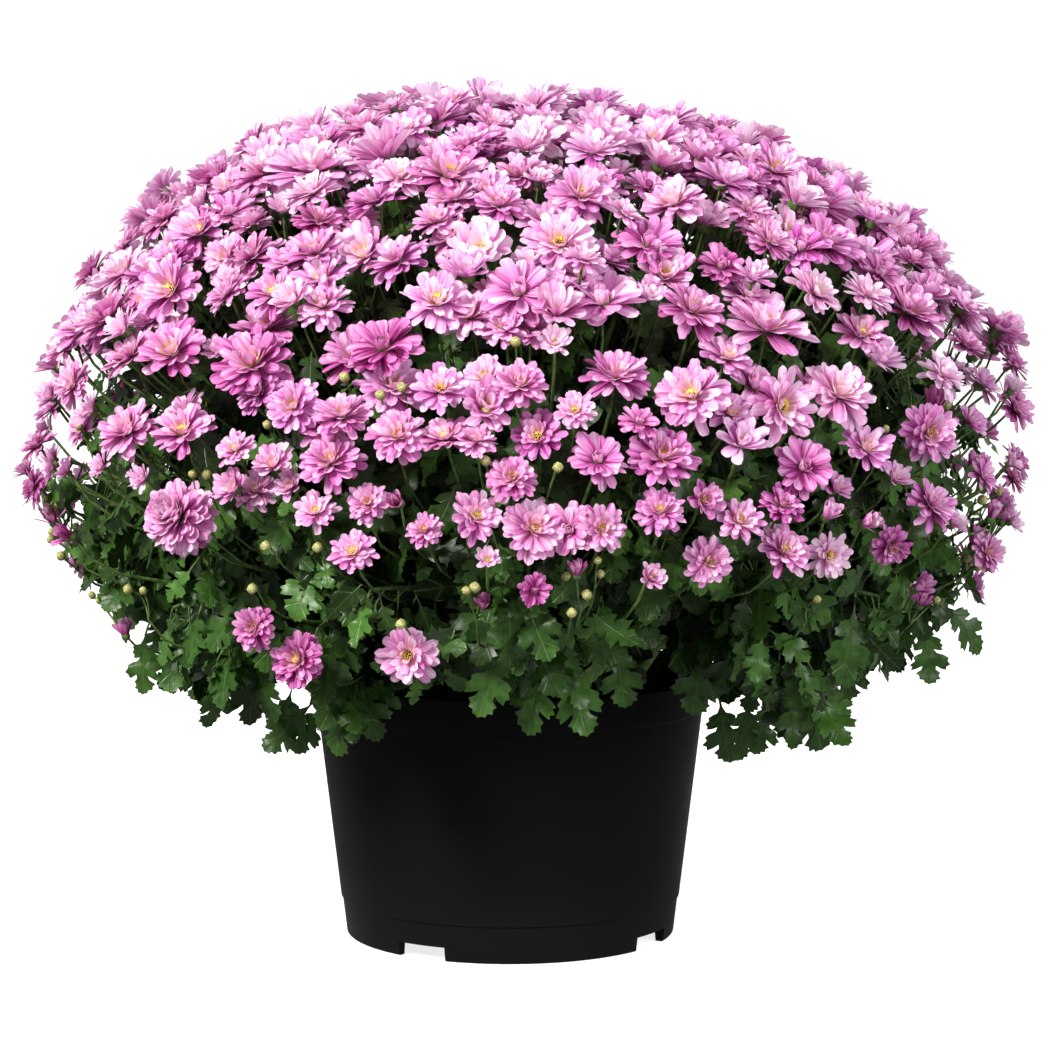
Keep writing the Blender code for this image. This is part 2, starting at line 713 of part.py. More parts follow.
def merged(shapes):
    """Several shapes' vertices, faces and owners as one."""
    vertices = []
    faces = []
    owners = []
    for own_vertices, own_faces, own_owners in shapes:
        faces += [tuple(i + len(vertices) for i in face) for face in own_faces]
        vertices += own_vertices
        owners += own_owners
    return vertices, faces, owners


def add_ring(vertices, base, place, along, radius):
    """Three new corners round a place, turned to match the three corners of a base face."""
    centre = sum((vertices[i] for i in base), Vector()) / 3.0
    made = []
    for index in base:
        spoke = vertices[index] - centre
        spoke -= along * spoke.dot(along)
        made.append(len(vertices))
        vertices.append(place + spoke.normalized() * radius)
    return made


def tube_faces(base, end):
    faces = []
    for k in range(3):
        after = (k + 1) % 3
        faces.append((base[k], base[after], end[after]))
        faces.append((base[k], end[after], end[k]))
    return faces


def core_shape():
    """The bush's core: the dome made smaller, with a flat floor above the pot's rim."""
    top, _ = dome_point(Vector((0, 0, 1)), CORE_SCALE)
    rise_low = (CORE_FLOOR - DOME_Z) / (DOME_DOWN * CORE_SCALE)
    profile = [(0.0, CORE_FLOOR)]
    for latitude in [math.asin(rise_low)] + [math.radians(angle) for angle in CORE_LATITUDES]:
        tall = DOME_UP if latitude > 0 else DOME_DOWN
        profile.append((
            DOME_RADIUS * CORE_SCALE * math.cos(latitude),
            DOME_Z + tall * CORE_SCALE * math.sin(latitude),
        ))
    profile.append((0.0, top.z))
    vertices, faces = turned(profile, CORE_SIDES)
    return [Vector(v) + Vector((DOME_X, 0, 0)) for v in vertices], faces


def stem_layout():
    """For each leafy stem its lobe's middle in plan, and its foot and top."""
    layout = []
    rings = (
        (INNER_STEMS, INNER_START, INNER_LOBE_RADIUS, INNER_ROOT_RADIUS, INNER_JOIN_RADIUS),
        (OUTER_STEMS, 0.0, OUTER_LOBE_RADIUS, OUTER_ROOT_RADIUS, OUTER_JOIN_RADIUS),
    )
    for count, start, lobe_radius, root_radius, join_radius in rings:
        for number in range(count):
            out = around(start + 360.0 * number / count)
            lobe = out * lobe_radius + Vector((DOME_X, 0, 0))
            foot = out * root_radius + Vector((0, 0, STEM_ROOT_Z))
            top = out * join_radius + Vector((DOME_X, 0, STEM_JOIN_Z))
            layout.append((lobe, foot, top))
    return layout


def lobe_mesh(number, layout):
    """One stem's share of the core: the part nearer to its middle than to any other."""
    vertices, faces = core_shape()
    shape = bmesh.new()
    corners = [shape.verts.new(v) for v in vertices]
    for face in faces:
        shape.faces.new([corners[i] for i in face])
    own = layout[number][0]
    for other, (lobe, _, _) in enumerate(layout):
        if other == number:
            continue
        away = (lobe - own).normalized()
        middle = (lobe + own) / 2.0 - away * (LOBE_GAP / 2.0)
        everything = shape.verts[:] + shape.edges[:] + shape.faces[:]
        bmesh.ops.bisect_plane(shape, geom=everything, plane_co=middle, plane_no=away, clear_outer=True)
        open_edges = [edge for edge in shape.edges if edge.is_boundary]
        if open_edges:
            bmesh.ops.contextual_create(shape, geom=open_edges)
    bmesh.ops.remove_doubles(shape, verts=shape.verts[:], dist=0.00005)
    bmesh.ops.recalc_face_normals(shape, faces=shape.faces[:])
    if shape.calc_volume(signed=True) < 0.0:
        bmesh.ops.reverse_faces(shape, faces=shape.faces[:])
    mesh = bpy.data.meshes.new("lobe")
    shape.to_mesh(mesh)
    shape.free()
    return mesh


def leaf_shape(root, along, face, length, outline):
    """A lobed blade, thickest along its middle, whose wedge-shaped base starts as a point in the core."""
    across = face.cross(along).normalized()
    face = along.cross(across).normalized()
    right = [(share, -side) for share, side in outline]
    left = [(share, side) for share, side in reversed(outline)]
    flat = [(0.0, 0.0)] + right + [(1.0, 0.0)] + left
    vertices = []
    for share, side in flat:
        droop = face * (-LEAF_DROOP * length * (share * share + abs(side)))
        vertices.append(root + along * (share * length) + across * (side * length) + droop)
    rim = list(range(len(vertices)))
    middle = root + along * (LEAF_MIDDLE * length) - face * (LEAF_MIDDLE_DROP * length)
    vertices.append(middle + face * (LEAF_THICK / 2))
    vertices.append(middle - face * (LEAF_THICK / 2))
    faces = []
    for a, b in zip(rim, rim[1:] + rim[:1]):
        faces.append((a, b, len(rim)))
        faces.append((b, a, len(rim) + 1))
    return vertices, faces


def leaf_places(rng, core_tree):
    """Roots, directions and outlines of the leaves: outer ones, and ones close over the core."""
    places = []
    for number in range(LEAVES):
        share = (number + 0.5) / LEAVES
        height = LEAF_LOW + (LEAF_HIGH - LEAF_LOW) * share ** LEAF_CROWD
        out = around(number * GOLDEN + rng.uniform(-4.0, 4.0))
        hit, _, _, _ = core_tree.ray_cast(out * 0.5 + Vector((DOME_X, 0, height)), -out)
        inner = number % 5 in (1, 3) or share > LEAF_HIGH_SHARE
        sag = LEAF_SAG_INNER if inner else LEAF_SAG_LOW + (LEAF_SAG_HIGH - LEAF_SAG_LOW) * share
        sag += rng.uniform(-LEAF_SAG_SPREAD, LEAF_SAG_SPREAD)
        side = Vector((-out.y, out.x, 0.0)) * rng.uniform(-LEAF_SWAY, LEAF_SWAY)
        along = (out + side - Vector((0, 0, sag))).normalized()
        length = LEAF_LENGTH * rng.uniform(1.0 - LEAF_SIZE_SPREAD, 1.0 + LEAF_SIZE_SPREAD)
        face = (out + Vector((0, 0, LEAF_FACE_UP))).normalized()
        outline = THREE_LOBES if inner else FIVE_LOBES
        places.append((hit - along * LEAF_ROOT, along, face, length, outline))
    return places


def tree_of(vertices, faces):
    return BVHTree.FromPolygons([tuple(v) for v in vertices], faces)


def mesh_tree(mesh):
    return tree_of([v.co for v in mesh.vertices], [tuple(f.vertices) for f in mesh.polygons])


def build():
    clear_scene()
    pot_finish = material("black_pot_plastic", (0.006, 0.005, 0.006), 0.48)
    soil_finish = material("peat", (0.020, 0.013, 0.008), 0.95)
    leaf_finish = material("leaf_green", (0.030, 0.085, 0.022), 0.55)
    petal_finish = material("petal_pink", (0.79, 0.30, 0.62), 0.60)
    rng = np.random.RandomState(SEED)

    pot = make_pot(pot_finish)
    layout = stem_layout()
    make_soil(soil_finish, [(foot, top) for _, foot, top in layout])

    core_vertices, core_faces = core_shape()
    core_tree = tree_of(core_vertices, core_faces)
    sites = place_sites(rng)
    turns = rng.uniform(0.0, 2.0 * math.pi, len(sites))
    sprays = fit_sprays(sites, core_tree, turns)
    for number, (vertices, faces, _) in enumerate(sprays):
        mesh_object(f"spray_{number + 1:02d}", vertices, faces, petal_finish)
    spray_vertices, spray_faces, _ = merged(sprays)
    spray_tree = tree_of(spray_vertices, spray_faces)

    lobes = []
    lobe_trees = []
    for number in range(len(layout)):
        mesh = lobe_mesh(number, layout)
        item = bpy.data.objects.new(f"leafy_stem_{number + 1:02d}", mesh)
        bpy.context.scene.collection.objects.link(item)
        mesh.materials.append(leaf_finish)
        lobes.append(item)
        lobe_trees.append(mesh_tree(mesh))

    pot_tree = mesh_tree(pot.data)
    pieces = [[tube("stem", [foot, top], [STEM_RADIUS] * 2, STEM_SIDES)] for _, foot, top in layout]
    grown = []
    for root, along, face, length, outline in leaf_places(rng, core_tree):
        owner = min(range(len(layout)), key=lambda k: (root - layout[k][0]).xy.length)
        for shrink in LEAF_TRIALS:
            vertices, faces = leaf_shape(root, along, face, length * shrink, outline)
            leaf_tree = tree_of(vertices, faces)
            blocked = bool(leaf_tree.overlap(spray_tree)) or bool(leaf_tree.overlap(pot_tree))
            blocked = blocked or any(leaf_tree.overlap(tree) for tree in grown)
            others = [tree for k, tree in enumerate(lobe_trees) if k != owner]
            blocked = blocked or any(leaf_tree.overlap(tree) for tree in others)
            if not blocked:
                grown.append(leaf_tree)
                pieces[owner].append(mesh_object("leaf", vertices, faces))
                break
    for item, own in zip(lobes, pieces):
        join(item, own)


build()
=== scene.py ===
"""Pot chrysanthemum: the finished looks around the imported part.

Metres, +Z up, the front is -Y. The blooms stand where the part's sprays hold them: the rule that
places them is repeated here, with the same seed, and more blooms fill in between and behind.
"""

import math
from functools import partial

import bpy
import numpy as np
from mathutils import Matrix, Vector, geometry


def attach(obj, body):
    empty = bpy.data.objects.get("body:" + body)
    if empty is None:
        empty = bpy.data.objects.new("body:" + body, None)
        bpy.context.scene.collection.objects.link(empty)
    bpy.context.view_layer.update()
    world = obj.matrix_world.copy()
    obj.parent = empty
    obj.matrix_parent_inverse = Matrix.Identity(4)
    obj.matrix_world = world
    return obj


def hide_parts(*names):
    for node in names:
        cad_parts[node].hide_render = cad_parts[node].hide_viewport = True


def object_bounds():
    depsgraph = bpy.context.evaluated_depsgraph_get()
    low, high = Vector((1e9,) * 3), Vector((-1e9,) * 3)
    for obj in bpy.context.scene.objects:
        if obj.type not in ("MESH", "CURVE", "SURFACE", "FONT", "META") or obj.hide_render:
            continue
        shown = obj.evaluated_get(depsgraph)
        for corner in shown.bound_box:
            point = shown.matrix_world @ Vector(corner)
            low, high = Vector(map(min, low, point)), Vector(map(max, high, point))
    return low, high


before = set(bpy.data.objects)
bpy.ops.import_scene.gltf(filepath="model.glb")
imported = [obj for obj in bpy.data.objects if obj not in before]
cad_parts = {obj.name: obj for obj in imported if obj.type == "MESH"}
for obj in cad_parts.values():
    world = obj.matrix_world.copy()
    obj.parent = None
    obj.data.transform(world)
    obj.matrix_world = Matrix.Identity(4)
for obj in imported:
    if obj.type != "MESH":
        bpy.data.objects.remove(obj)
cad_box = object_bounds()

# Camera: a long lens, a little above the plant and level across
CAMERA_PLACE = (0.009, -2.4, 0.53)
CAMERA_AIM = (0.009, 0.0, 0.248)
FOCAL_PIXELS = 4000.0
IMAGE_PIXELS = 1050.0
SENSOR = 36.0

# Pot
POT_HEIGHT = 0.160
POT_FOOT_RADIUS = 0.0995
POT_DRAFT = 0.120
POT_STEP = 0.0008
POT_STEP_HEIGHT = 0.022
POT_COLLAR_LOW = 0.139
POT_COLLAR = 0.003
POT_WALL = 0.0022
POT_FLOOR_UNDER = 0.009
POT_FLOOR_TOP = 0.0115
POT_FOOT_RING = 0.005
POT_HUB_RADIUS = 0.013
POT_SIDES = 144
POT_SHARP = 35.0             # edges that turn more than this stay sharp
NOTCH_HEIGHT = 0.0085
NOTCH_WIDTH = 0.032
NOTCH_AZIMUTH = -31.7
NOTCHES = 4
LIP = 0.0011                 # rounding of the rim, the collar and the foot

# Soil
SOIL_TOP = 0.141
SOIL_GAP = 0.0006
SOIL_SIDES = 96
SOIL_RINGS = 26
SOIL_WAVES = 7               # each lies closer than the one before, and is lower
CRUMB = 0.0022               # height of the peat's lumps

# Dome of the plant, as the part has it
DOME_X = 0.009
DOME_Z = 0.286
DOME_RADIUS = 0.297
DOME_UP = 0.219
DOME_DOWN = 0.185
# where it stands out or in: azimuth, latitude, height in metres and width in degrees
SWELLS = [
    (-95.0, 43.0, 0.007, 24.0),
    (-93.0, 16.0, -0.008, 16.0),
    (86.0, 26.0, 0.004, 22.0),
    (-60.0, 62.0, 0.005, 22.0),
    (0.0, 86.0, -0.004, 20.0),
    (178.0, 30.0, 0.006, 26.0),
]

# Leafy stems, as the part has them
INNER_STEMS = 3
OUTER_STEMS = 9
INNER_LOBE_RADIUS = 0.045
OUTER_LOBE_RADIUS = 0.165
INNER_ROOT_RADIUS = 0.025
OUTER_ROOT_RADIUS = 0.070
INNER_JOIN_RADIUS = 0.045
OUTER_JOIN_RADIUS = 0.118
STEM_ROOT_Z = 0.095
STEM_JOIN_Z = 0.186

# Blooms of the part: azimuth in degrees from the front, height and diameter in millimetres
PLACED_BLOOMS = [
    (-39.6, 279, 45), (-32.5, 219, 27), (-28.3, 201, 32), (-13.6, 208, 34),
    (1.0, 247, 18), (-18.1, 267, 27), (-22.2, 288, 25), (-10.4, 280, 21),
    (-32.2, 319, 24), (-27.3, 312, 27), (7.9, 281, 28), (1.0, 281, 37),
    (-62.0, 258, 17), (-3.9, 264, 17), (28.4, 265, 32), (19.6, 261, 28),
    (22.8, 283, 28), (50.4, 234, 14), (67.7, 245, 26), (49.6, 283, 33),
    (-79.0, 277, 27), (-76.0, 304, 26), (7.6, 318, 33), (12.2, 337, 23),
    (-5.1, 328, 24), (-1.3, 308, 29), (-13.4, 330, 35), (23.3, 324, 33),
    (30.7, 310, 34), (39.5, 318, 34), (-49.0, 324, 40), (-19.8, 340, 34),
    (14.0, 290, 28), (13.2, 253, 20), (61.4, 293, 24), (76.5, 258, 20),
    (33.4, 282, 13), (38.7, 276, 16), (-13.0, 294, 12), (5.3, 343, 23),
    (-9.1, 354, 31), (-0.5, 357, 32),
]
# Places that stay free of blooms, in the same measures
GAPS = [
    (-5.6, 382, 30), (9.6, 300, 16), (40.0, 377, 34), (-23.0, 368, 22),
    (-8.8, 306, 28), (3.6, 302, 14), (20.0, 374, 20), (-36.0, 304, 32),
    (-31.0, 344, 18), (49.0, 346, 18), (100.0, 340, 34), (150.0, 350, 30),
    (-130.0, 340, 34), (-165.0, 310, 30),
]
# Looks of the blooms that are known one by one: row above, kind and paleness
PLACED_LOOKS = [
    (0, "pompon", 0.50), (1, "full", 0.20), (2, "full", 0.06), (3, "open", 0.52), (4, "button", 0.05),
    (5, "open", 0.46), (6, "open", 0.64), (7, "full", 0.34), (8, "open", 0.60), (9, "young", 0.64),
    (10, "full", 0.46), (11, "full", 0.46), (12, "brush", 0.05), (13, "young", 0.82), (14, "open", 0.48),
    (15, "full", 0.44), (18, "full", 0.40), (20, "full", 0.20), (21, "full", 0.34), (22, "button", 0.36),
    (26, "full", 0.42), (28, "button", 0.26), (30, "full", 0.46), (31, "full", 0.44),
]
COVER_BLOOMS = 284
STRAY_BLOOMS = 22
STRAY_FROM = 88.0
STRAY_SPAN = 184.0
STRAY_LOW = 0.205
STRAY_RISE = 0.075
STRAY_LEAST = 0.009
STRAY_MOST = 0.017
STRAY_HIGH = 0.6
BUDS = 24
BUD_LOW = 0.215
BUD_RISE = 0.16
BUD_FLOOR = 0.205
BUD_TURN = 1.3
BUD_ROOM = 0.004
BLOOM_RADIUS = 0.0222
BLOOM_SPREAD = 0.0030
BLOOM_LEAST = 0.0150
BLOOM_MOST = 0.0280
BUD_RADIUS = 0.0034
COVER_LOW = 0.282
COVER_SWAY = 0.024
COVER_RIPPLE = 0.006
BLOOM_LIFT = 0.005
BLOOM_LIFT_UP = 0.30
BLOOM_LEAN = 0.14
GOLDEN = 180.0 * (3.0 - math.sqrt(5.0))
SPREAD_ROUNDS = 130
SPREAD_ROOM = 1.04
SPREAD_PUSH = 0.35
SEED = 11
SPRAYS = 44
SPRAY_MOST = 12
SETTLE_ROUNDS = 20
HUB_SCALE = 0.815
BOX_MARGIN = 0.0004          # everything keeps this far inside the part's own box

# Blooms of the finished plant
TRUE_SIZE = 0.775            # share of the part's cover blooms, which are larger than life
COVER_STRAY = 0.004          # how far a cover bloom stands off the part's own, each way
COVER_SINK = 0.003
COVER_LEAN = 0.14
COVER_LIFT = 0.55            # how far a low bloom can turn up from the part's own, and a high one down
SIZE_SPAN = (0.84, 1.14)     # spread of the true sizes
HIGH_GROWTH = 0.08           # how much larger they are at the crown
LOW_COVER = 0.315            # under this height they are smaller
LOW_SIZE = 0.76
SIDE_REACH = 0.19            # beyond this to either side of the dome's axis, and under this height,
SIDE_HEIGHT = 0.345          # more leaves show between smaller blooms
SIDE_SIZE = 0.79
INFILL_BLOOMS = 305
INFILL_TRIES = 9000
INFILL_RADIUS = 0.0152
INFILL_STRAY = 0.0024
INFILL_SPAN = (0.010, 0.021)
INFILL_LEAN = 0.25
INFILL_LIFT = 0.75           # how far a low one turns up
INFILL_ROOM = 0.58           # share of two radii that infill keeps from its neighbours
SIDE_ROOM = 0.84
BRUSH_RADIUS = 0.0066        # furled blooms that show as a pink brush in a green cup
BRUSH_LEAST = 0.0046
BRUSH_SHARE = 0.28           # of the members of bud clusters
RIGHT_BRUSHES = 1.8          # how many times as many there are on the right
SMALL_BRUSH = 0.0088         # a known bloom under this radius is a brush
SMALL_YOUNG = 0.0115         # and any other bloom under this one is young
BUD_SIZE = 0.86
PLACED_SIZE = 0.95           # cupped, they span a little less than flat
UPTURN = {"placed": 0.70, "stray": 0.5}     # how far these turn up, against facing outward
LOOKS_SEED = 37

# Foliage
STEM_THICK = (0.0042, 0.0034)    # radii at the foot and at the end
BRANCH_THICK = (0.0028, 0.0017)
SHOOT_THICK = (0.0022, 0.0011)
PETIOLE_THICK = (0.0009, 0.0006)
SHOOTS = 176
SKIRT_SHARE = 0.62           # of the shoots end round the skirt
SHOOT_LOW = -0.70            # from this rise upwards
OUTER_SHOOT = (0.84, 0.95)   # how far out a shoot ends, as a share of the dome, round the skirt
CROWN_SHOOT = (0.80, 0.92)   # and in the crown
CROWN_FROM = 0.3             # the rise from which a shoot belongs to the crown
SHOOT_LEAVES = 13
RIM_BARE = 24.0              # within this azimuth no shoot hangs over the pot's rim
RIM_RISE = -0.54
RIM_CLEAR = 0.180            # plain leaves stay above this, off the rim
DEEP_LEAVES = 7
CROWN_LEAVES = 18            # plain leaves on a high shoot, where the light behind would show through
LOW_STALK_LEAVES = 4         # leaves on each stalk whose bloom is lower than the next value
OPEN_BELOW = 0.37
HIGH_STALK_LEAVES = 2        # and on each of the others
STALK_LEAF_SPAN = (0.22, 0.85)       # where they stand, as shares of the way down
STALK_LEAF_LENGTH = (0.016, 0.032)
STALK_LEAF_AGE = (0.26, 0.14)        # middle and stray
STALK_POINTS = 7
STALK_DEPTH = 0.46           # how far down its spray's branch a stalk starts
STALK_DROP = 0.042
STALK_TAPER = 1.35           # how much thicker a stalk is at its foot
BLOOM_STALK = 0.0008         # radii of the stalks at their necks
BUD_STALK = 0.0006
FORK_THICK = (0.0005, 0.0007)
STALK_ORIGIN = np.array([DOME_X, 0.0, 0.17])     # the branches, and so the stalks, all come up from here
LEAF_LENGTH = 0.039
LEAF_SPAN = (0.62, 1.18)     # spread of the lengths
CROWN_LEAF = 0.85            # how long leaves of the crown are against the others
PETIOLE_SPAN = (0.15, 0.35)  # of a leaf stalk, in lengths of its blade
LEAF_WIDTH = 0.90            # across both sides, as a share of the outline's own width
LEAF_HOOK = 0.09             # stray of a leaf's tip to one side, in lengths
LEAF_WAVES = 15.0            # how closely its edge waves
LEAF_AGE_AND_SHADE = 0.60              # how much paler a shoot's last leaves are than its first: partly their youth, partly painted shade that darkens the first ones, deep in the bush
PLAIN_PAINTED_SHADE = 0.16            # and how much darker the plain ones are, painted shade deep in the bush
PLACED_LEAF_AGE = 0.34
BUD_CLUSTERS = 70
BUD_SPAN = (0.0022, 0.0032)
CLUSTER_SPREAD = 0.035
CLUSTER_DEPTH = (-0.014, -0.002)     # of its members under the dome
FORK_DROP = (0.016, 0.026)   # of its fork under its members


# Materials

def linear(hexa):
    """A colour given as an sRGB hex value, as the shader wants it."""
    parts = [int(hexa[i:i + 2], 16) / 255.0 for i in (1, 3, 5)]
    return tuple(p / 12.92 if p <= 0.04045 else ((p + 0.055) / 1.055) ** 2.4 for p in parts) + (1.0,)


def add(tree, kind, inputs=(), stops=(), **settings):
    """Add a shader node with its settings. Its inputs, in their order or by name, are values, sockets or
    nodes that give their first output, and a ramp's stops are (place, hex)."""
    made = tree.nodes.new("ShaderNode" + kind)
    for name, value in settings.items():
        setattr(made, name, value)
    for name, value in inputs.items() if isinstance(inputs, dict) else enumerate(inputs):
        if isinstance(value, bpy.types.Node):
            value = value.outputs[0]
        if isinstance(value, bpy.types.NodeSocket):
            tree.links.new(value, made.inputs[name])
        else:
            made.inputs[name].default_value = value
    if stops:
        ramp = made.color_ramp.elements
        while len(ramp) < len(stops):
            ramp.new(0.5)
        for element, (place, colour) in zip(ramp, stops):
            element.position = place
            element.color = linear(colour)
    return made


def new_material(name, roughness, ior=1.45, **constants):
    """A material, the function that adds a node to it, and its Principled shader."""
    made = bpy.data.materials.new(name)
    made.use_nodes = True
    shader = made.node_tree.nodes["Principled BSDF"]
    shader.inputs["Roughness"].default_value = roughness
    shader.inputs["IOR"].default_value = ior
    for socket, value in constants.items():
        shader.inputs[socket.replace("_", " ")].default_value = value
    return made, partial(add, made.node_tree), shader


def mesh_vector(node, label):
    """X, Y and Z of one of the two vectors that a mesh holds for its materials."""
    held = node("Attribute", attribute_name=label)
    return node("SeparateXYZ", (held.outputs["Vector"],)).outputs


def surface(node, shader, colour, height, strength, distance):
    """Give the shader its colour and the relief of a bump, whose depth is in metres."""
    bump = node("Bump", {"Strength": strength, "Distance": distance, "Height": height})
    links = shader.id_data.links
    links.new(colour, shader.inputs["Base Color"])
    links.new(bump.outputs[0], shader.inputs["Normal"])


def let_light_through(node, shader, colour, share):
    """Mix in light that falls on the far side, as a petal or a leaf passes on."""
    glow = node("BsdfTranslucent", (colour,))
    mix = node("MixShader", (share, shader, glow))
    tree = shader.id_data
    tree.links.new(mix.outputs[0], tree.nodes["Material Output"].inputs["Surface"])


def petal_material():
    """Ray floret: a thin wet-celled blade, satin, deep at its foot and pale at its tip, with fine ribs; the
    deep foot is partly painted shade.
    """
    made, node, shader = new_material("ray_floret", 0.52, 1.40, Sheen_Weight=0.15, Sheen_Roughness=0.4)
    place = mesh_vector(node, "blade")
    own = mesh_vector(node, "tone")
    # ribs 0.5 mm apart along the blade, where each petal has its own
    side = node("Math", (place["Y"], 5.0), operation="MULTIPLY")
    along = node("Math", (place["X"], 0.7), operation="MULTIPLY")
    shift = node("Math", (own["Z"], 90.0), operation="MULTIPLY")
    ribs_at = node("CombineXYZ", (side, along, shift))
    ribs = node("TexNoise", {"Vector": ribs_at, "Scale": 1.0, "Detail": 1.0})
    # from the deep foot to the pale tip, paler again in young blooms and, as painted light, at the crown,
    # deeper along the edges; the deep foot is partly the petal's own colour and partly painted shade where
    # the petals overlap
    up = node("Math", (place["X"], 0.60, -0.62), operation="MULTIPLY_ADD")
    young = node("Math", (own["X"], 0.80, up), operation="MULTIPLY_ADD")
    streak = node("Math", (ribs, 1.15, young), operation="MULTIPLY_ADD")
    edge = node("Math", (place["Y"],), operation="ABSOLUTE")
    level = node("Math", (edge, -0.42, streak), operation="MULTIPLY_ADD", use_clamp=True)
    blush = node("ValToRGB", (level,), stops=[
        (0.0, "#8E1A68"), (0.16, "#B64094"), (0.38, "#D87BBF"), (0.62, "#E9A2D5"), (0.86, "#F4C4E6"),
        (1.0, "#FBE2F5")])
    # the innermost petals have a cream foot
    foot = node("MapRange", (place["X"], 0.1, 0.8, 0.9, 0.0))
    inner = node("MapRange", (place["Z"], 0.45, 1.0))
    cream = node("Math", (foot, inner), operation="MULTIPLY")
    warm = node("Mix", {0: cream, 6: blush, 7: linear("#F4DF9C")}, data_type="RGBA")
    # the older a bloom, the more it turns from rose to mauve
    hue = node("Math", (own["Y"], -0.022, 0.502), operation="MULTIPLY_ADD")
    colour = node("HueSaturation", {"Hue": hue, "Color": warm.outputs[2]}).outputs[0]
    surface(node, shader, colour, ribs, 0.5, 0.0003)
    let_light_through(node, shader, colour, 0.35)
    return made


def floret_material():
    """Disc florets: packed small tubes, dusted with pollen, yellow and browner with age."""
    made, node, shader = new_material("disc_floret", 0.75)
    own = mesh_vector(node, "tone")
    where = node("TexCoord").outputs["Object"]
    grain = node("TexNoise", {"Vector": where, "Scale": 1600.0, "Detail": 2.0})
    level = node("Math", (grain, 0.5, own["Y"]), operation="MULTIPLY_ADD", use_clamp=True)
    colour = node("ValToRGB", (level,), stops=[
        (0.0, "#F8EDA8"), (0.35, "#F1D765"), (0.7, "#D9A63F"), (1.0, "#A8593F")])
    shader.id_data.links.new(colour.outputs[0], shader.inputs["Base Color"])
    return made


def leaf_material():
    """Chrysanthemum leaf: soft felted blade, satin above, with paler netted veins."""
    made, node, shader = new_material("leaf_blade", 0.34, 1.42, Specular_IOR_Level=0.36)
    place = mesh_vector(node, "blade")
    own = mesh_vector(node, "tone")
    # side veins leave the midrib every quarter of the blade and run forward
    side = node("Math", (place["Y"],), operation="ABSOLUTE")
    back = node("Math", (side, -0.85, place["X"]), operation="MULTIPLY_ADD")
    step = node("Math", (back, 0.24), operation="SUBTRACT")
    turns = node("Math", (step, 0.24), operation="PINGPONG")
    spread = node("Math", (turns, side), operation="MINIMUM")
    vein = node("MapRange", (spread, 0.003, 0.020, 1.0, 0.0))
    where = node("TexCoord").outputs["Object"]
    mottle = node("TexNoise", {"Vector": where, "Scale": 220.0, "Detail": 2.0})
    # the leaf's own level: its age, with painted shade that darkens the leaves deep in the bush
    level = node("Math", (mottle, 0.5, own["X"]), operation="MULTIPLY_ADD", use_clamp=True)
    green = node("ValToRGB", (level,), stops=[
        (0.0, "#081204"), (0.35, "#1C330D"), (0.60, "#33541E"), (0.85, "#4A732F"), (1.0, "#608B42")])
    share = node("Math", (vein, 0.20), operation="MULTIPLY")
    colour = node("Mix", {0: share, 6: green, 7: linear("#67803F")}, data_type="RGBA").outputs[2]
    raised = node("Math", (mottle, vein), operation="SUBTRACT")
    surface(node, shader, colour, raised, 0.45, 0.0006)
    let_light_through(node, shader, colour, 0.14)
    return made


def stem_material():
    """Green stem: ribbed and slightly hairy, mottled darker and paler."""
    made, node, shader = new_material("green_stem", 0.6)
    where = node("TexCoord").outputs["Object"]
    mottle = node("TexNoise", {"Vector": where, "Scale": 300.0, "Detail": 1.0})
    colour = node("ValToRGB", (mottle,), stops=[(0.25, "#2E431B"), (0.5, "#4A642C"), (0.8, "#67813F")])
    surface(node, shader, colour.outputs[0], mottle, 0.4, 0.0003)
    return made


def bud_material():
    """Closed bud: overlapping bracts, green at the foot and straw-coloured at the papery tips."""
    made, node, shader = new_material("bud_bract", 0.55)
    place = mesh_vector(node, "blade")
    where = node("TexCoord").outputs["Object"]
    mottle = node("TexNoise", {"Vector": where, "Scale": 900.0, "Detail": 2.0})
    # bracts in rows, each row set half a bract round from the last
    bracts = node("CombineXYZ", (place["Y"], place["X"]))
    scales = node("TexVoronoi", {"Vector": bracts, "Scale": 6.0, "Randomness": 0.35},
                  feature="DISTANCE_TO_EDGE")
    edge = node("MapRange", (scales.outputs["Distance"], 0.0, 0.25, -0.45, 0.1))
    level = node("Math", (mottle, 0.6, edge), operation="MULTIPLY_ADD")
    paper = node("Math", (place["X"], 0.55, level), operation="MULTIPLY_ADD", use_clamp=True)
    colour = node("ValToRGB", (paper,), stops=[
        (0.0, "#33451C"), (0.3, "#6F7A3A"), (0.6, "#AAA662"), (1.0, "#DCD39A")])
    surface(node, shader, colour.outputs[0], paper, 0.6, 0.0004)
    return made


def pot_material():
    """Black polypropylene, injection-moulded: a fine matt grain that dust and water marks dull low down."""
    made, node, shader = new_material("moulded_black_polypropylene", 0.5, 1.49, Specular_IOR_Level=0.05)
    where = node("TexCoord").outputs["Object"]
    # grain of 0.4 mm, drawn as coarse as shows
    grain = node("TexNoise", {"Vector": where, "Scale": 900.0, "Detail": 2.0})
    marks = node("TexNoise", {"Vector": where, "Scale": 14.0, "Detail": 6.0, "Roughness": 0.6})
    height = node("SeparateXYZ", (where,))
    low = node("MapRange", (height.outputs["Z"], 0.0, 0.05, 0.5, 0.0))
    dust = node("Math", (marks, low), operation="MULTIPLY")
    colour = node("Mix", {0: dust, 6: linear("#110F10"), 7: linear("#24201D")}, data_type="RGBA")
    rough = node("MapRange", (marks, 0.3, 0.7, 0.42, 0.60))
    shader.id_data.links.new(rough.outputs[0], shader.inputs["Roughness"])
    surface(node, shader, colour.outputs[2], grain, 0.25, 0.0002)
    return made


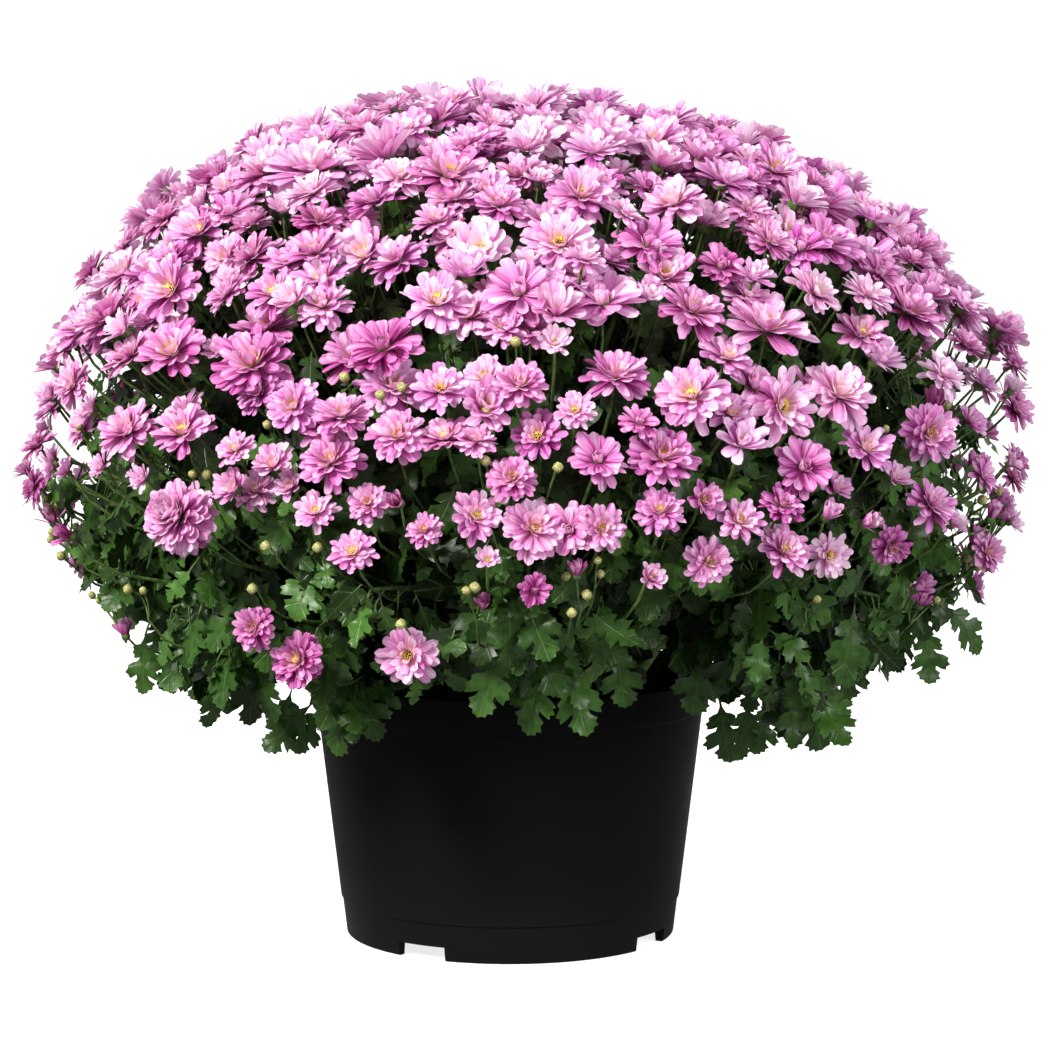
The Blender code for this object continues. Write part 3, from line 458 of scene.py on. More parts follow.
def peat_material():
    """Peat potting mix: dark fibre and crumbs with pale bits of bark."""
    made, node, shader = new_material("peat_mix", 0.95)
    where = node("TexCoord").outputs["Object"]
    crumbs = node("TexVoronoi", {"Vector": where, "Scale": 320.0})
    fine = node("TexNoise", {"Vector": where, "Scale": 700.0, "Detail": 5.0})
    level = node("Math", (crumbs.outputs["Distance"], fine), operation="MULTIPLY")
    colour = node("ValToRGB", (level,), stops=[
        (0.0, "#17100B"), (0.25, "#2E2118"), (0.5, "#4A3626"), (0.8, "#7A6049")])
    surface(node, shader, colour.outputs[0], level, 0.9, 0.001)
    return made


def floor_material():
    """White studio acrylic, lit a little from below as a shooting table is."""
    made, node, shader = new_material("pale_floor", 0.8, Emission_Strength=0.80)
    where = node("TexCoord").outputs["Object"]
    grain = node("TexNoise", {"Vector": where, "Scale": 40.0, "Detail": 3.0})
    colour = node("ValToRGB", (grain,), stops=[(0.3, "#D0CFCD"), (0.7, "#D5D4D2")])
    shader.id_data.links.new(colour.outputs[0], shader.inputs["Base Color"])
    shader.inputs["Emission Color"].default_value = linear("#FFFFFF")
    return made


# Meshes

def mesh_piece(name, vertices, faces, finishes, finish_of=None, blade=None, tone=None):
    """A mesh object from arrays, with its finishes and the two vectors that its materials read."""
    mesh = bpy.data.meshes.new(name)
    mesh.from_pydata(np.asarray(vertices).tolist(), [], [list(f) for f in faces])
    for finish in finishes:
        mesh.materials.append(finish)
    if finish_of is not None:
        mesh.polygons.foreach_set("material_index", np.asarray(finish_of, np.int32))
    for label, values in (("blade", blade), ("tone", tone)):
        if values is not None:
            held = mesh.attributes.new(label, "FLOAT_VECTOR", "POINT")
            held.data.foreach_set("vector", np.asarray(values, np.float32).ravel())
    mesh.polygons.foreach_set("use_smooth", np.ones(len(mesh.polygons), bool))
    mesh.update()
    item = bpy.data.objects.new(name, mesh)
    bpy.context.scene.collection.objects.link(item)
    return item


EVEN = (0.5, 0.0, 0.0)       # what the materials read where a mesh has no pattern of its own


class Parts:
    """Vertices, faces, finishes and vectors gathered for one piece."""

    def __init__(self):
        self.vertices = []
        self.faces = []
        self.finishes = []
        self.blades = []
        self.tones = []
        self.count = 0

    def take(self, vertices, faces, finish=0, blade=EVEN, tone=EVEN):
        vertices = np.asarray(vertices, float).reshape(-1, 3)
        size = len(vertices)
        self.vertices.append(vertices)
        self.faces += [[i + self.count for i in face] for face in faces]
        self.finishes += [finish] * len(faces)
        self.blades.append(np.broadcast_to(blade, (size, 3)))
        self.tones.append(np.broadcast_to(tone, (size, 3)))
        self.count += size

    def stalk(self, path, first, last, sides, finish=0):
        """A round stalk along a path, from one radius to another."""
        self.take(*tubes(path[None], np.linspace(first, last, len(path))[None], sides), finish)

    def piece(self, name, finishes):
        return mesh_piece(name, np.concatenate(self.vertices), self.faces, finishes, self.finishes,
                          np.concatenate(self.blades), np.concatenate(self.tones))


def grid_faces(sheets, rows, columns, closed=False):
    """Quads of many equal sheets of rows by columns, or of tubes where the columns close on themselves."""
    index = np.arange(sheets * rows * columns).reshape(sheets, rows, columns)
    if closed:
        after = np.roll(index, -1, axis=2)
    else:
        after = index[:, :, 1:]
        index = index[:, :, :-1]
    quads = np.stack([index[:, :-1], after[:, :-1], after[:, 1:], index[:, 1:]], axis=-1)
    return quads.reshape(-1, 4).tolist()


def turned(profile, sides):
    """Vertices and faces of an open or closed profile of (radius, height), turned about Z."""
    radius, high = np.array(profile).T[:, :, None]
    turn = 2.0 * math.pi * np.arange(sides) / sides
    high = np.repeat(high, sides, axis=1)
    vertices = np.stack([radius * np.cos(turn), radius * np.sin(turn), high], axis=-1)
    return vertices.reshape(-1, 3), grid_faces(1, len(profile), sides, closed=True)


TUBE_GUIDE = np.array([0.31, 0.22, 0.92])    # along no stalk, so that every ring has its two axes


def tubes(paths, radii, sides):
    """Round stalks along many paths at once: paths (stalks, points, 3), radii (stalks, points)."""
    ahead = np.gradient(paths, axis=1)
    ahead /= np.linalg.norm(ahead, axis=2, keepdims=True) + 1e-12
    across = np.cross(ahead, TUBE_GUIDE)
    across /= np.linalg.norm(across, axis=2, keepdims=True) + 1e-12
    up = np.cross(across, ahead)
    turn = 2.0 * math.pi * np.arange(sides) / sides
    ring = across[:, :, None] * np.cos(turn)[:, None] + up[:, :, None] * np.sin(turn)[:, None]
    vertices = paths[:, :, None] + ring * radii[:, :, None, None]
    return vertices.reshape(-1, 3), grid_faces(len(paths), paths.shape[1], sides, closed=True)


def bezier(start, middle, end, points):
    share = np.linspace(0.0, 1.0, points)[:, None]
    return start * (1 - share) ** 2 + middle * (2 * share * (1 - share)) + end * share ** 2


def unit(vector):
    return vector / (np.linalg.norm(vector, axis=-1, keepdims=True) + 1e-12)


def into_box(points):
    """The shift that brings each group of points (..., points, 3) inside the part's own box."""
    low = np.array(cad_box[0]) + BOX_MARGIN
    high = np.array(cad_box[1]) - BOX_MARGIN
    under = np.maximum(0.0, low - points.min(axis=-2))
    over = np.maximum(0.0, points.max(axis=-2) - high)
    return (under - over)[..., None, :]


# The part's own rule for where its blooms stand

def around(azimuth):
    turn = math.radians(azimuth)
    return Vector((math.sin(turn), -math.cos(turn), 0.0))


def swell(direction):
    """How far the dome stands out in a direction."""
    total = 0.0
    for azimuth, latitude, height, width in SWELLS:
        rise = math.radians(latitude)
        peak = around(azimuth) * math.cos(rise) + Vector((0, 0, math.sin(rise)))
        angle = math.degrees(math.acos(max(-1.0, min(1.0, peak.dot(direction)))))
        total += height * math.exp(-(angle / width) ** 2)
    return total


def dome_point(direction, scale=1.0, lift=0.0):
    """The place where a direction meets the dome, scaled and lifted off it, and its outward normal."""
    tall = DOME_UP if direction.z > 0 else DOME_DOWN
    axes = Vector((DOME_RADIUS, DOME_RADIUS, tall))
    place = Vector([share * axis for share, axis in zip(direction, axes)]) * scale
    normal = Vector([share / axis for share, axis in zip(direction, axes)]).normalized()
    place += direction * (swell(direction) * scale) + normal * lift
    return place + Vector((DOME_X, 0.0, DOME_Z)), normal


def heading(azimuth, rise):
    """The unit direction at an azimuth in degrees from the front that rises by a share of one."""
    return around(azimuth) * math.sqrt(1.0 - rise * rise) + Vector((0, 0, rise))


def direction_at(azimuth, height):
    tall = DOME_UP if height > DOME_Z else DOME_DOWN
    return heading(azimuth, max(-0.98, min(0.98, (height - DOME_Z) / tall)))


def on_sphere(place):
    """The direction of the unit sphere that a place of the dome comes from."""
    out = place - Vector((DOME_X, 0.0, DOME_Z))
    tall = DOME_UP if out.z > 0 else DOME_DOWN
    return Vector((out.x / DOME_RADIUS, out.y / DOME_RADIUS, out.z / tall)).normalized()


def cover_edge(azimuth):
    """The height under which no cover bloom stands."""
    turn = math.radians(azimuth)
    return COVER_LOW - COVER_SWAY * math.sin(2.0 * turn) + COVER_RIPPLE * math.sin(3.0 * turn + 1.0)


def draw_sites(rng):
    """Directions, radii and kinds of all sites, spread apart."""
    directions = []
    radii = []
    kinds = []
    for kind, rows in (("placed", PLACED_BLOOMS), ("gap", GAPS)):
        for azimuth, height, width in rows:
            directions.append(direction_at(azimuth, height / 1000.0))
            radii.append(width / 2000.0)
            kinds.append(kind)
    for number in range(STRAY_BLOOMS):
        share = (-number * GOLDEN / 360.0) % 1.0
        azimuth = STRAY_FROM + STRAY_SPAN * share + rng.uniform(-5.0, 5.0)
        directions.append(direction_at(azimuth, STRAY_LOW + STRAY_RISE * rng.uniform() ** STRAY_HIGH))
        radii.append(rng.uniform(STRAY_LEAST, STRAY_MOST))
        kinds.append("stray")
    for number in range(COVER_BLOOMS):
        rise = 1.0 - (number + 0.5) / COVER_BLOOMS
        azimuth = number * GOLDEN + rng.uniform(-6.0, 6.0)
        directions.append(heading(azimuth, rise))
        radii.append(min(BLOOM_MOST, max(BLOOM_LEAST, rng.normal(BLOOM_RADIUS, BLOOM_SPREAD))))
        kinds.append("cover")
    for number in range(BUDS):
        azimuth = number * GOLDEN * BUD_TURN + rng.uniform(-10.0, 10.0)
        directions.append(direction_at(azimuth, BUD_LOW + BUD_RISE * rng.uniform()))
        radii.append(BUD_RADIUS)
        kinds.append("bud")
    return spread_apart(directions, radii, kinds), radii, kinds


def spread_apart(directions, radii, kinds):
    """Push the cover blooms and the buds apart until they have room."""
    rooms = np.array([r + (BUD_ROOM if kind == "bud" else 0.0) for r, kind in zip(radii, kinds)])
    free = [i for i, kind in enumerate(kinds) if kind in ("cover", "bud")]
    for _ in range(SPREAD_ROUNDS):
        places = np.array([dome_point(d)[0] for d in directions])
        between = places[:, None, :] - places[None, :, :]
        apart = np.linalg.norm(between, axis=2) + np.eye(len(places))
        lack = np.clip(SPREAD_ROOM * (rooms[:, None] + rooms[None, :]) - apart, 0.0, None)
        np.fill_diagonal(lack, 0.0)
        push = (between / apart[:, :, None] * lack[:, :, None]).sum(axis=1) * SPREAD_PUSH
        for i in free:
            moved = on_sphere(Vector(places[i] + push[i]))
            azimuth = math.degrees(math.atan2(moved.x, -moved.y))
            low = direction_at(azimuth, cover_edge(azimuth) if kinds[i] == "cover" else BUD_FLOOR)
            directions[i] = low if moved.z < low.z else moved
    return directions


def place_sites(rng):
    """The sites of the part: kind, place, facing and radius."""
    directions, radii, kinds = draw_sites(rng)
    sites = []
    for direction, radius, kind in zip(directions, radii, kinds):
        lift = 0.0 if kind == "placed" else rng.uniform(-BLOOM_LIFT, BLOOM_LIFT)
        lean = Vector(rng.normal(0.0, BLOOM_LEAN, 3))
        place, normal = dome_point(direction, 1.0, lift)
        facing = (normal + Vector((0, 0, BLOOM_LIFT_UP)) + lean).normalized()
        if kind != "gap":
            sites.append((kind, place, facing, radius))
    return sites


def gather(sites):
    """The numbers of the sites that each spray holds."""
    places = np.array([site[1] for site in sites])
    middles = [places[0]]
    for _ in range(SPRAYS - 1):
        nearest = np.min([np.linalg.norm(places - m, axis=1) for m in middles], axis=0)
        middles.append(places[int(np.argmax(nearest))])
    for _ in range(SETTLE_ROUNDS):
        owner = nearest_owner(places, middles)
        middles = [places[owner == k].mean(axis=0) for k in range(SPRAYS)]
    return [[int(i) for i in np.flatnonzero(owner == k)] for k in range(SPRAYS)]


def nearest_owner(places, middles):
    """The spray of each site: the nearest that has room."""
    away = np.array([np.linalg.norm(places - m, axis=1) for m in middles])
    owner = np.full(len(places), -1)
    for pair in np.argsort(away, axis=None, kind="stable"):
        k, i = divmod(int(pair), len(places))
        if owner[i] < 0 and np.count_nonzero(owner == k) < SPRAY_MOST:
            owner[i] = k
    return owner


def hub_of(members, sites):
    """The joint of a spray, inside the dome below the middle of its sites."""
    middle = sum((sites[i][1] for i in members), Vector()) / len(members)
    return dome_point(on_sphere(middle), HUB_SCALE)[0]


def stem_layout():
    """The middle of the lobe, the foot and the top of each leafy stem."""
    layout = []
    rings = (
        (INNER_STEMS, 20.0, INNER_LOBE_RADIUS, INNER_ROOT_RADIUS, INNER_JOIN_RADIUS),
        (OUTER_STEMS, 0.0, OUTER_LOBE_RADIUS, OUTER_ROOT_RADIUS, OUTER_JOIN_RADIUS),
    )
    for count, start, lobe_radius, root_radius, join_radius in rings:
        for number in range(count):
            out = around(start + 360.0 * number / count)
            lobe = out * lobe_radius + Vector((DOME_X, 0, 0))
            foot = out * root_radius + Vector((0, 0, STEM_ROOT_Z))
            top = out * join_radius + Vector((DOME_X, 0, STEM_JOIN_Z))
            layout.append((lobe, foot, top))
    return layout


# Blooms

# How far along a petal its cross-sections lie, and how wide they are; the inner petals are made plainer
PETAL_SHAPES = [
    (np.array([0.0, 0.35, 0.70, 0.92, 1.0]), np.array([0.36, 0.80, 1.0, 0.90, 0.52])),
    (np.array([0.0, 0.50, 0.88, 1.0]), np.array([0.42, 0.94, 0.98, 0.54])),
]
PLAINER_FROM = 2             # the row from which petals are made plainer
PETAL_ACROSS = np.array([-0.5, 0.0, 0.5])
PETAL_PLACE = 0.24           # stray of a petal's place in its row, in petals
PETAL_LONG = (0.80, 1.07)    # spread of the lengths and the widths
PETAL_WIDE = (1.02, 1.34)
PETAL_TILT = 8.5             # stray in degrees
PETAL_CURL = 10.0
PETAL_TWIST = 0.26           # stray in radians at the tip
PETAL_HOOK = 0.10            # stray of the tip to one side, as a share of the length
PETAL_TIP = (-0.02, 0.08)    # how far the tip's middle stands out, as a share of the length
CHANNEL_FOOT = 0.40          # depth of a petal's channel at its foot, as a share of its half width
CHANNEL_LOST = 0.26          # and how much of it is gone at the tip
ROW_RISE = 0.02              # each row stands higher by this share of the bloom's radius
POMPON_HEART = 0.24          # radius of the round heart that a pompon's petals stand on, as a share
# Rows of petals from the outside in: count, length, tilt and curl in degrees, width, foot radius
ROWS = {
    "open": [(15, 0.97, 16, -14, 0.29, 0.13), (14, 0.88, 30, -8, 0.27, 0.13), (12, 0.68, 46, 0, 0.24, 0.13),
             (10, 0.44, 60, 8, 0.18, 0.13)],
    "full": [(17, 0.93, 4, -16, 0.27, 0.13), (16, 0.91, 20, -10, 0.27, 0.13), (14, 0.81, 35, -4, 0.25, 0.12),
             (12, 0.64, 50, 4, 0.22, 0.12), (10, 0.44, 64, 12, 0.17, 0.11)],
    "young": [(13, 1.00, 40, -4, 0.32, 0.10), (11, 0.90, 54, 0, 0.29, 0.10), (9, 0.66, 66, 6, 0.24, 0.10)],
    "button": [(16, 0.95, 10, -10, 0.32, 0.15), (15, 0.86, 24, -4, 0.30, 0.15),
               (12, 0.36, 60, 44, 0.17, 0.17), (9, 0.30, 66, 50, 0.16, 0.10)],
    "brush": [(10, 1.75, 64, 8, 0.56, 0.34), (8, 1.85, 76, 6, 0.50, 0.20)],
    "pompon": [(21, 0.73, -16, -12, 0.23, 0.0), (22, 0.75, -5, -10, 0.23, 0.0), (22, 0.75, 6, -6, 0.22, 0.0),
               (22, 0.74, 16, 0, 0.22, 0.0), (21, 0.72, 26, 4, 0.22, 0.0), (20, 0.69, 36, 6, 0.21, 0.0),
               (19, 0.66, 46, 8, 0.21, 0.0), (17, 0.63, 55, 9, 0.20, 0.0), (15, 0.60, 63, 9, 0.20, 0.0),
               (12, 0.57, 70, 8, 0.20, 0.0), (9, 0.54, 76, 6, 0.20, 0.0), (6, 0.52, 82, 4, 0.20, 0.0)],
}
SEED_TURN = math.radians(137.508)    # from one floret, or leaf of a shoot, to the next
FLORETS = 18
MIDDLE = {"open": 0.17, "full": 0.14, "young": 0.17}     # radius of the yellow middle, as a share
MIDDLE_HEIGHT = 0.15
# The green cup under a bloom: radius and height, and how far its points stand up, as shares of the radius
CUP = np.array([(0.05, -0.26), (0.18, -0.20), (0.23, -0.06), (0.21, 0.06)])
CUP_SIDES = 10
CUP_POINTS = 0.08
BRUSH_CUP = 2.1              # how much larger the cup is round a furled bloom
BLOOM_SINK = 0.16            # a bloom's foot lies this far under its place, as a share of its radius
NECK_SINK = 0.25             # and its stalk begins this far under its foot
PALE_STRAY = 0.15            # from petal to petal
PALE_INWARD = 0.34           # how much paler the innermost petals are than the outermost
STALK_REACH = 0.42           # a stalk's bend hangs at most this share of its length under its neck
STALK_STRAY = 0.10
STALK_INWARD = 0.40
STALK_EVEN = 1.2             # how its points lie closer near the neck
# A bud, as radius and height in shares of its own radius
BUD_PROFILE = np.array([(0.18, -1.25), (0.62, -1.0), (0.95, -0.45), (1.0, 0.1), (0.78, 0.62), (0.40, 0.92),
                        (0.02, 1.02)])
BUD_SIDES = 8
BUD_RIBS = 0.06              # how far every other corner stands out, and those between them in
BUD_LENGTH = 2.3             # what its material takes as its whole height
BUD_NECK = 1.2


def side_axes(along):
    """Two unit directions across a direction, so that the three are right-handed."""
    along = Vector(along).normalized()
    guide = Vector((0, 0, 1)) if abs(along.z) < 0.9 else Vector((1, 0, 0))
    across = guide.cross(along).normalized()
    return np.array(across), np.array(along.cross(across))


def petals(rng, style, radius):
    """The rows of petals of a bloom about +Z, with its foot at the origin: for each row its points, the
    stations along its petals and the row's share of the way in."""
    made = []
    rows = ROWS[style]
    heart = radius * POMPON_HEART if style == "pompon" else 0.0
    for number, (count, length, tilt, curl, width, foot) in enumerate(rows):
        along, shape = PETAL_SHAPES[0 if number < PLAINER_FROM else 1]
        azimuth = 2.0 * math.pi * (np.arange(count) + rng.uniform(-PETAL_PLACE, PETAL_PLACE, count)) / count
        azimuth += rng.uniform(0.0, 2.0 * math.pi)
        long = radius * length * rng.uniform(*PETAL_LONG, count)
        slope = np.radians(tilt + rng.normal(0.0, PETAL_TILT, count))
        bend = np.radians(curl + rng.normal(0.0, PETAL_CURL, count))
        wide = radius * width * rng.uniform(*PETAL_WIDE, count)
        twist = rng.normal(0.0, PETAL_TWIST, count)
        hook = rng.normal(0.0, PETAL_HOOK, count)
        # walk along each petal's middle line
        steps = long[:, None] * np.diff(along, prepend=0.0)
        angles = slope[:, None] + bend[:, None] * along
        out = radius * foot + heart * np.cos(slope)[:, None] + np.cumsum(steps * np.cos(angles), axis=1)
        high = heart * np.sin(slope)[:, None] + np.cumsum(steps * np.sin(angles), axis=1)
        # the cross-section is a channel that opens towards the tip
        half = (wide[:, None] * shape)[:, :, None]
        across = half * PETAL_ACROSS
        channel = half * (CHANNEL_FOOT - CHANNEL_LOST * along[None, :, None]) * np.abs(PETAL_ACROSS)
        roll = (twist[:, None] * along)[:, :, None]
        side = across * np.cos(roll) + ((hook * long)[:, None] * along ** 2)[:, :, None]
        lift = channel + across * np.sin(roll)
        # the tip's middle stands out, or is notched
        ahead = np.zeros((count, len(along), 3))
        ahead[:, -1, 1] = long * rng.uniform(*PETAL_TIP, count)
        cos, sin = np.cos(angles)[:, :, None], np.sin(angles)[:, :, None]
        reach = out[:, :, None] - sin * lift + cos * ahead
        rise = high[:, :, None] + cos * lift + sin * ahead + ROW_RISE * radius * number
        cos, sin = np.cos(azimuth)[:, None, None], np.sin(azimuth)[:, None, None]
        sheet = np.stack([reach * cos - side * sin, reach * sin + side * cos, rise], axis=-1)
        made.append((sheet, along, number / (len(rows) - 1)))
    return made


def floret_dome(rng, radius, style):
    """The yellow middle: a low dome of small pointed tubes, set out as on a seed head."""
    wide = radius * MIDDLE[style]
    number = np.arange(FLORETS)
    out = wide * np.sqrt((number + 0.5) / FLORETS)
    x = out * np.cos(number * SEED_TURN)
    y = out * np.sin(number * SEED_TURN)
    high = radius * MIDDLE_HEIGHT + 0.55 * wide * (1.0 - (out / wide) ** 2)
    size = 0.20 * wide * rng.uniform(0.8, 1.2, FLORETS)
    tall = 0.42 * wide * rng.uniform(0.6, 1.3, FLORETS)
    corners = []
    for step in range(4):
        angle = step * math.pi / 2.0
        corners.append(np.stack([x + size * math.cos(angle), y + size * math.sin(angle), high], axis=-1))
    corners.append(np.stack([x * 1.15, y * 1.15, high + tall], axis=-1))
    faces = [[5 * k + step, 5 * k + (step + 1) % 4, 5 * k + 4] for k in range(FLORETS) for step in range(4)]
    return np.stack(corners, axis=1).reshape(-1, 3), faces


def green_cup(radius, style):
    """The cup of bracts: a small bowl whose upper edge is cut into points."""
    vertices, faces = turned(CUP * radius * (BRUSH_CUP if style == "brush" else 1.0), CUP_SIDES)
    vertices[-CUP_SIDES::2, 2] += CUP_POINTS * radius
    return vertices, faces


def add_bloom(blooms, greens, rng, style, place, facing, radius, tone):
    """One bloom with its middle and its cup; gives its neck, where the stalk begins."""
    facing = np.array(facing)
    stand = np.stack([*side_axes(facing), facing])
    sink = np.array(place) - facing * radius * BLOOM_SINK
    rows = petals(rng, style, radius)
    reach = np.concatenate([sheet.reshape(-1, 3) for sheet, _, _ in rows]) @ stand + sink
    sink = sink + into_box(reach)[0]
    for sheet, along, share in rows:
        count = len(sheet)
        stations = np.broadcast_to(along[None, :, None], sheet.shape[:3])
        side = np.broadcast_to(PETAL_ACROSS, sheet.shape[:3])
        blade = np.stack([stations, side, np.full(sheet.shape[:3], share)], axis=-1).reshape(-1, 3)
        pale = tone[0] + PALE_STRAY * rng.normal(0.0, 1.0, count) + PALE_INWARD * (share - 0.4)
        mark = np.stack([pale, np.full(count, tone[1]), rng.uniform(0.0, 1.0, count)], axis=-1)
        mark = np.repeat(mark, len(along) * len(PETAL_ACROSS), axis=0)
        blooms.take(sheet.reshape(-1, 3) @ stand + sink, grid_faces(count, len(along), 3), 0, blade, mark)
    if style in MIDDLE:
        middle, faces = floret_dome(rng, radius, style)
        blooms.take(middle @ stand + sink, faces, 1, (0.0, 0.0, 0.0), (0.0, tone[2], 0.0))
    cup, faces = green_cup(radius, style)
    greens.take(cup @ stand + sink, faces)
    return sink - facing * radius * NECK_SINK


def add_stalk(greens, rng, neck, facing, hub, thick):
    """A bent stalk that rises to a neck from below, out of the branch that ends in its spray's joint."""
    foot = hub + (STALK_ORIGIN - hub) * STALK_DEPTH
    drop = min(STALK_REACH * np.linalg.norm(foot - neck), STALK_DROP)
    back = unit(0.45 * facing + np.array([0.0, 0.0, 0.7]))
    under = neck - back * drop + rng.normal(0.0, STALK_STRAY * drop, 3)
    over = neck + (STALK_ORIGIN - neck) * STALK_INWARD
    share = np.linspace(0.0, 1.0, STALK_POINTS)[:, None] ** STALK_EVEN
    path = (neck * (1 - share) ** 3 + under * 3 * share * (1 - share) ** 2
            + over * 3 * share ** 2 * (1 - share) + foot * share ** 3)
    greens.stalk(path, thick, thick * STALK_TAPER, 4)
    return path


def add_fork(greens, neck, facing, fork):
    """The short stalk of one bud or brush, from its neck to where its cluster forks."""
    middle = neck - facing * 0.5 * np.linalg.norm(fork - neck)
    greens.stalk(bezier(neck, middle, fork, 5), *FORK_THICK, 4)


def points_on(paths, share):
    """A point on each path, at a share of the way along it."""
    at = share * (paths.shape[1] - 1)
    low = np.minimum(at.astype(int), paths.shape[1] - 2)
    pick = np.arange(len(paths))
    return paths[pick, low] + (paths[pick, low + 1] - paths[pick, low]) * (at - low)[:, None]


def leaf_tones(rng, age, size):
    """What the leaf material reads: how light each leaf is, by its age and, deep in the bush, by painted
    shade, and a number of its own, at each of its points.
    """
    tone = np.stack([age, np.zeros(len(age)), rng.uniform(0.0, 1.0, len(age))], axis=-1)
    return np.repeat(tone, size, axis=0)


def add_stalk_leaves(greens, rng, paths):
    """Small leaves on the stalks of a spray, most of them where the bush is open."""
    paths = np.array(paths)
    leaves = np.where(paths[:, 0, 2] < OPEN_BELOW, LOW_STALK_LEAVES, HIGH_STALK_LEAVES)
    paths = np.repeat(paths, leaves, axis=0)
    count = len(paths)
    roots = points_on(paths, rng.uniform(*STALK_LEAF_SPAN, count))
    outward = unit((roots - [DOME_X, 0.0, DOME_Z]) / [DOME_RADIUS, DOME_RADIUS, DOME_UP])
    sideways = unit(np.cross(outward, rng.normal(0.0, 1.0, (count, 3))))
    along = unit(sideways + 0.35 * outward - [0.0, 0.0, 0.30])
    face = unit(outward + [0.0, 0.0, 0.3] + rng.normal(0.0, 0.3, (count, 3)))
    lengths = rng.uniform(*STALK_LEAF_LENGTH, count)
    vertices, faces, blade = leaf_shapes(rng, "plain", roots + along * 0.003, along, face, lengths)
    age = np.clip(rng.normal(*STALK_LEAF_AGE, count), 0.0, 0.7)
    greens.take(vertices, faces, 2, blade, leaf_tones(rng, age, vertices.shape[1]))


def add_bud(greens, place, facing, radius):
    """A closed bud; gives its neck, where the stalk begins."""
    facing = np.array(facing)
    rings, faces = turned(BUD_PROFILE, BUD_SIDES)
    rings[::2, :2] *= 1.0 + BUD_RIBS
    rings[1::2, :2] *= 1.0 - BUD_RIBS
    share = (rings[:, 2] - BUD_PROFILE[0, 1]) / BUD_LENGTH
    corner = np.tile(np.arange(BUD_SIDES), len(BUD_PROFILE))
    blade = np.stack([share, np.abs(corner / (BUD_SIDES / 2) - 1.0), 0 * share], axis=-1)
    greens.take(rings * radius @ np.stack([*side_axes(facing), facing]) + np.array(place), faces, 1, blade)
    return np.array(place) - facing * radius * BUD_NECK


# Kinds of bloom where the photograph doesn't tell: share of all, and paleness
KINDS = {"open": (0.38, 0.50), "full": (0.36, 0.44), "young": (0.16, 0.68), "button": (0.10, 0.38)}
BRUSH_PALE = 0.36
KIND_PALE_STRAY = 0.15
CROWN_PAINTED_LIGHT = 0.09             # painted light from above: how much paler blooms are at the crown, and deeper low down
KNOWN_TONE = (0.2, 0.1)      # mauve and brown of the blooms that are known one by one


def bloom_style(rng, kind, radius, height):
    """What kind of bloom stands at a site, and its tone: paleness, mauve, brown of the middle."""
    if kind == "brush" or (kind == "placed" and radius < SMALL_BRUSH):
        style = "brush"
    elif radius < SMALL_YOUNG:
        style = "young"
    else:
        style = rng.choice(list(KINDS), p=[share for share, _ in KINDS.values()])
    pale = BRUSH_PALE if style == "brush" else KINDS[style][1]
    # painted light from above: blooms paler at the crown and deeper lower down
    pale += rng.normal(0.0, KIND_PALE_STRAY) + CROWN_PAINTED_LIGHT * float(np.clip((height - 0.34) / 0.16, -0.6, 1.0))
    mauve = float(np.clip(rng.normal(0.35, 0.3), 0.0, 1.0))
    brown = float(np.clip(rng.normal(0.02 if style == "young" else 0.14, 0.2), 0.0, 0.8))
    return style, (float(np.clip(pale, 0.05, 1.0)), mauve, brown)


def infill_sites(rng, sites):
    """More blooms between and a little behind the part's own, where there is room and no gap."""
    places = [np.array(site[1]) for site in sites if site[0] != "bud"]
    rooms = [site[3] * (TRUE_SIZE if site[0] == "cover" else 1.0) for site in sites if site[0] != "bud"]
    for azimuth, height, width in GAPS:
        places.append(np.array(dome_point(direction_at(azimuth, height / 1000.0))[0]))
        rooms.append(width / 1400.0)
    added = []
    for _ in range(INFILL_TRIES):
        if len(added) == INFILL_BLOOMS:
            break
        azimuth = rng.uniform(-180.0, 180.0)
        rise = rng.uniform(-0.12, 1.0)
        if rng.uniform() > 0.06 + 1.6 * max(0.0, rise - 0.08):
            continue
        radius = float(np.clip(rng.normal(INFILL_RADIUS, INFILL_STRAY), *INFILL_SPAN))
        drop = rng.uniform(-0.020, 0.003) + 0.004 * max(0.0, rise)
        lean = Vector(rng.normal(0.0, INFILL_LEAN, 3))
        place, normal = dome_point(heading(azimuth, rise), 1.0, drop)
        if place.z < cover_edge(azimuth) - 0.004:
            continue
        near = np.linalg.norm(np.array(places) - np.array(place), axis=1)
        room = SIDE_ROOM if at_side(place) else INFILL_ROOM - 0.08 * max(0.0, rise)
        if (near < room * (np.array(rooms) + radius)).any():
            continue
        facing = (normal + Vector((0, 0, INFILL_LIFT - INFILL_LIFT * max(0.0, rise))) + lean).normalized()
        places.append(np.array(place))
        rooms.append(radius)
        added.append(("infill", place, facing, radius))
    return added


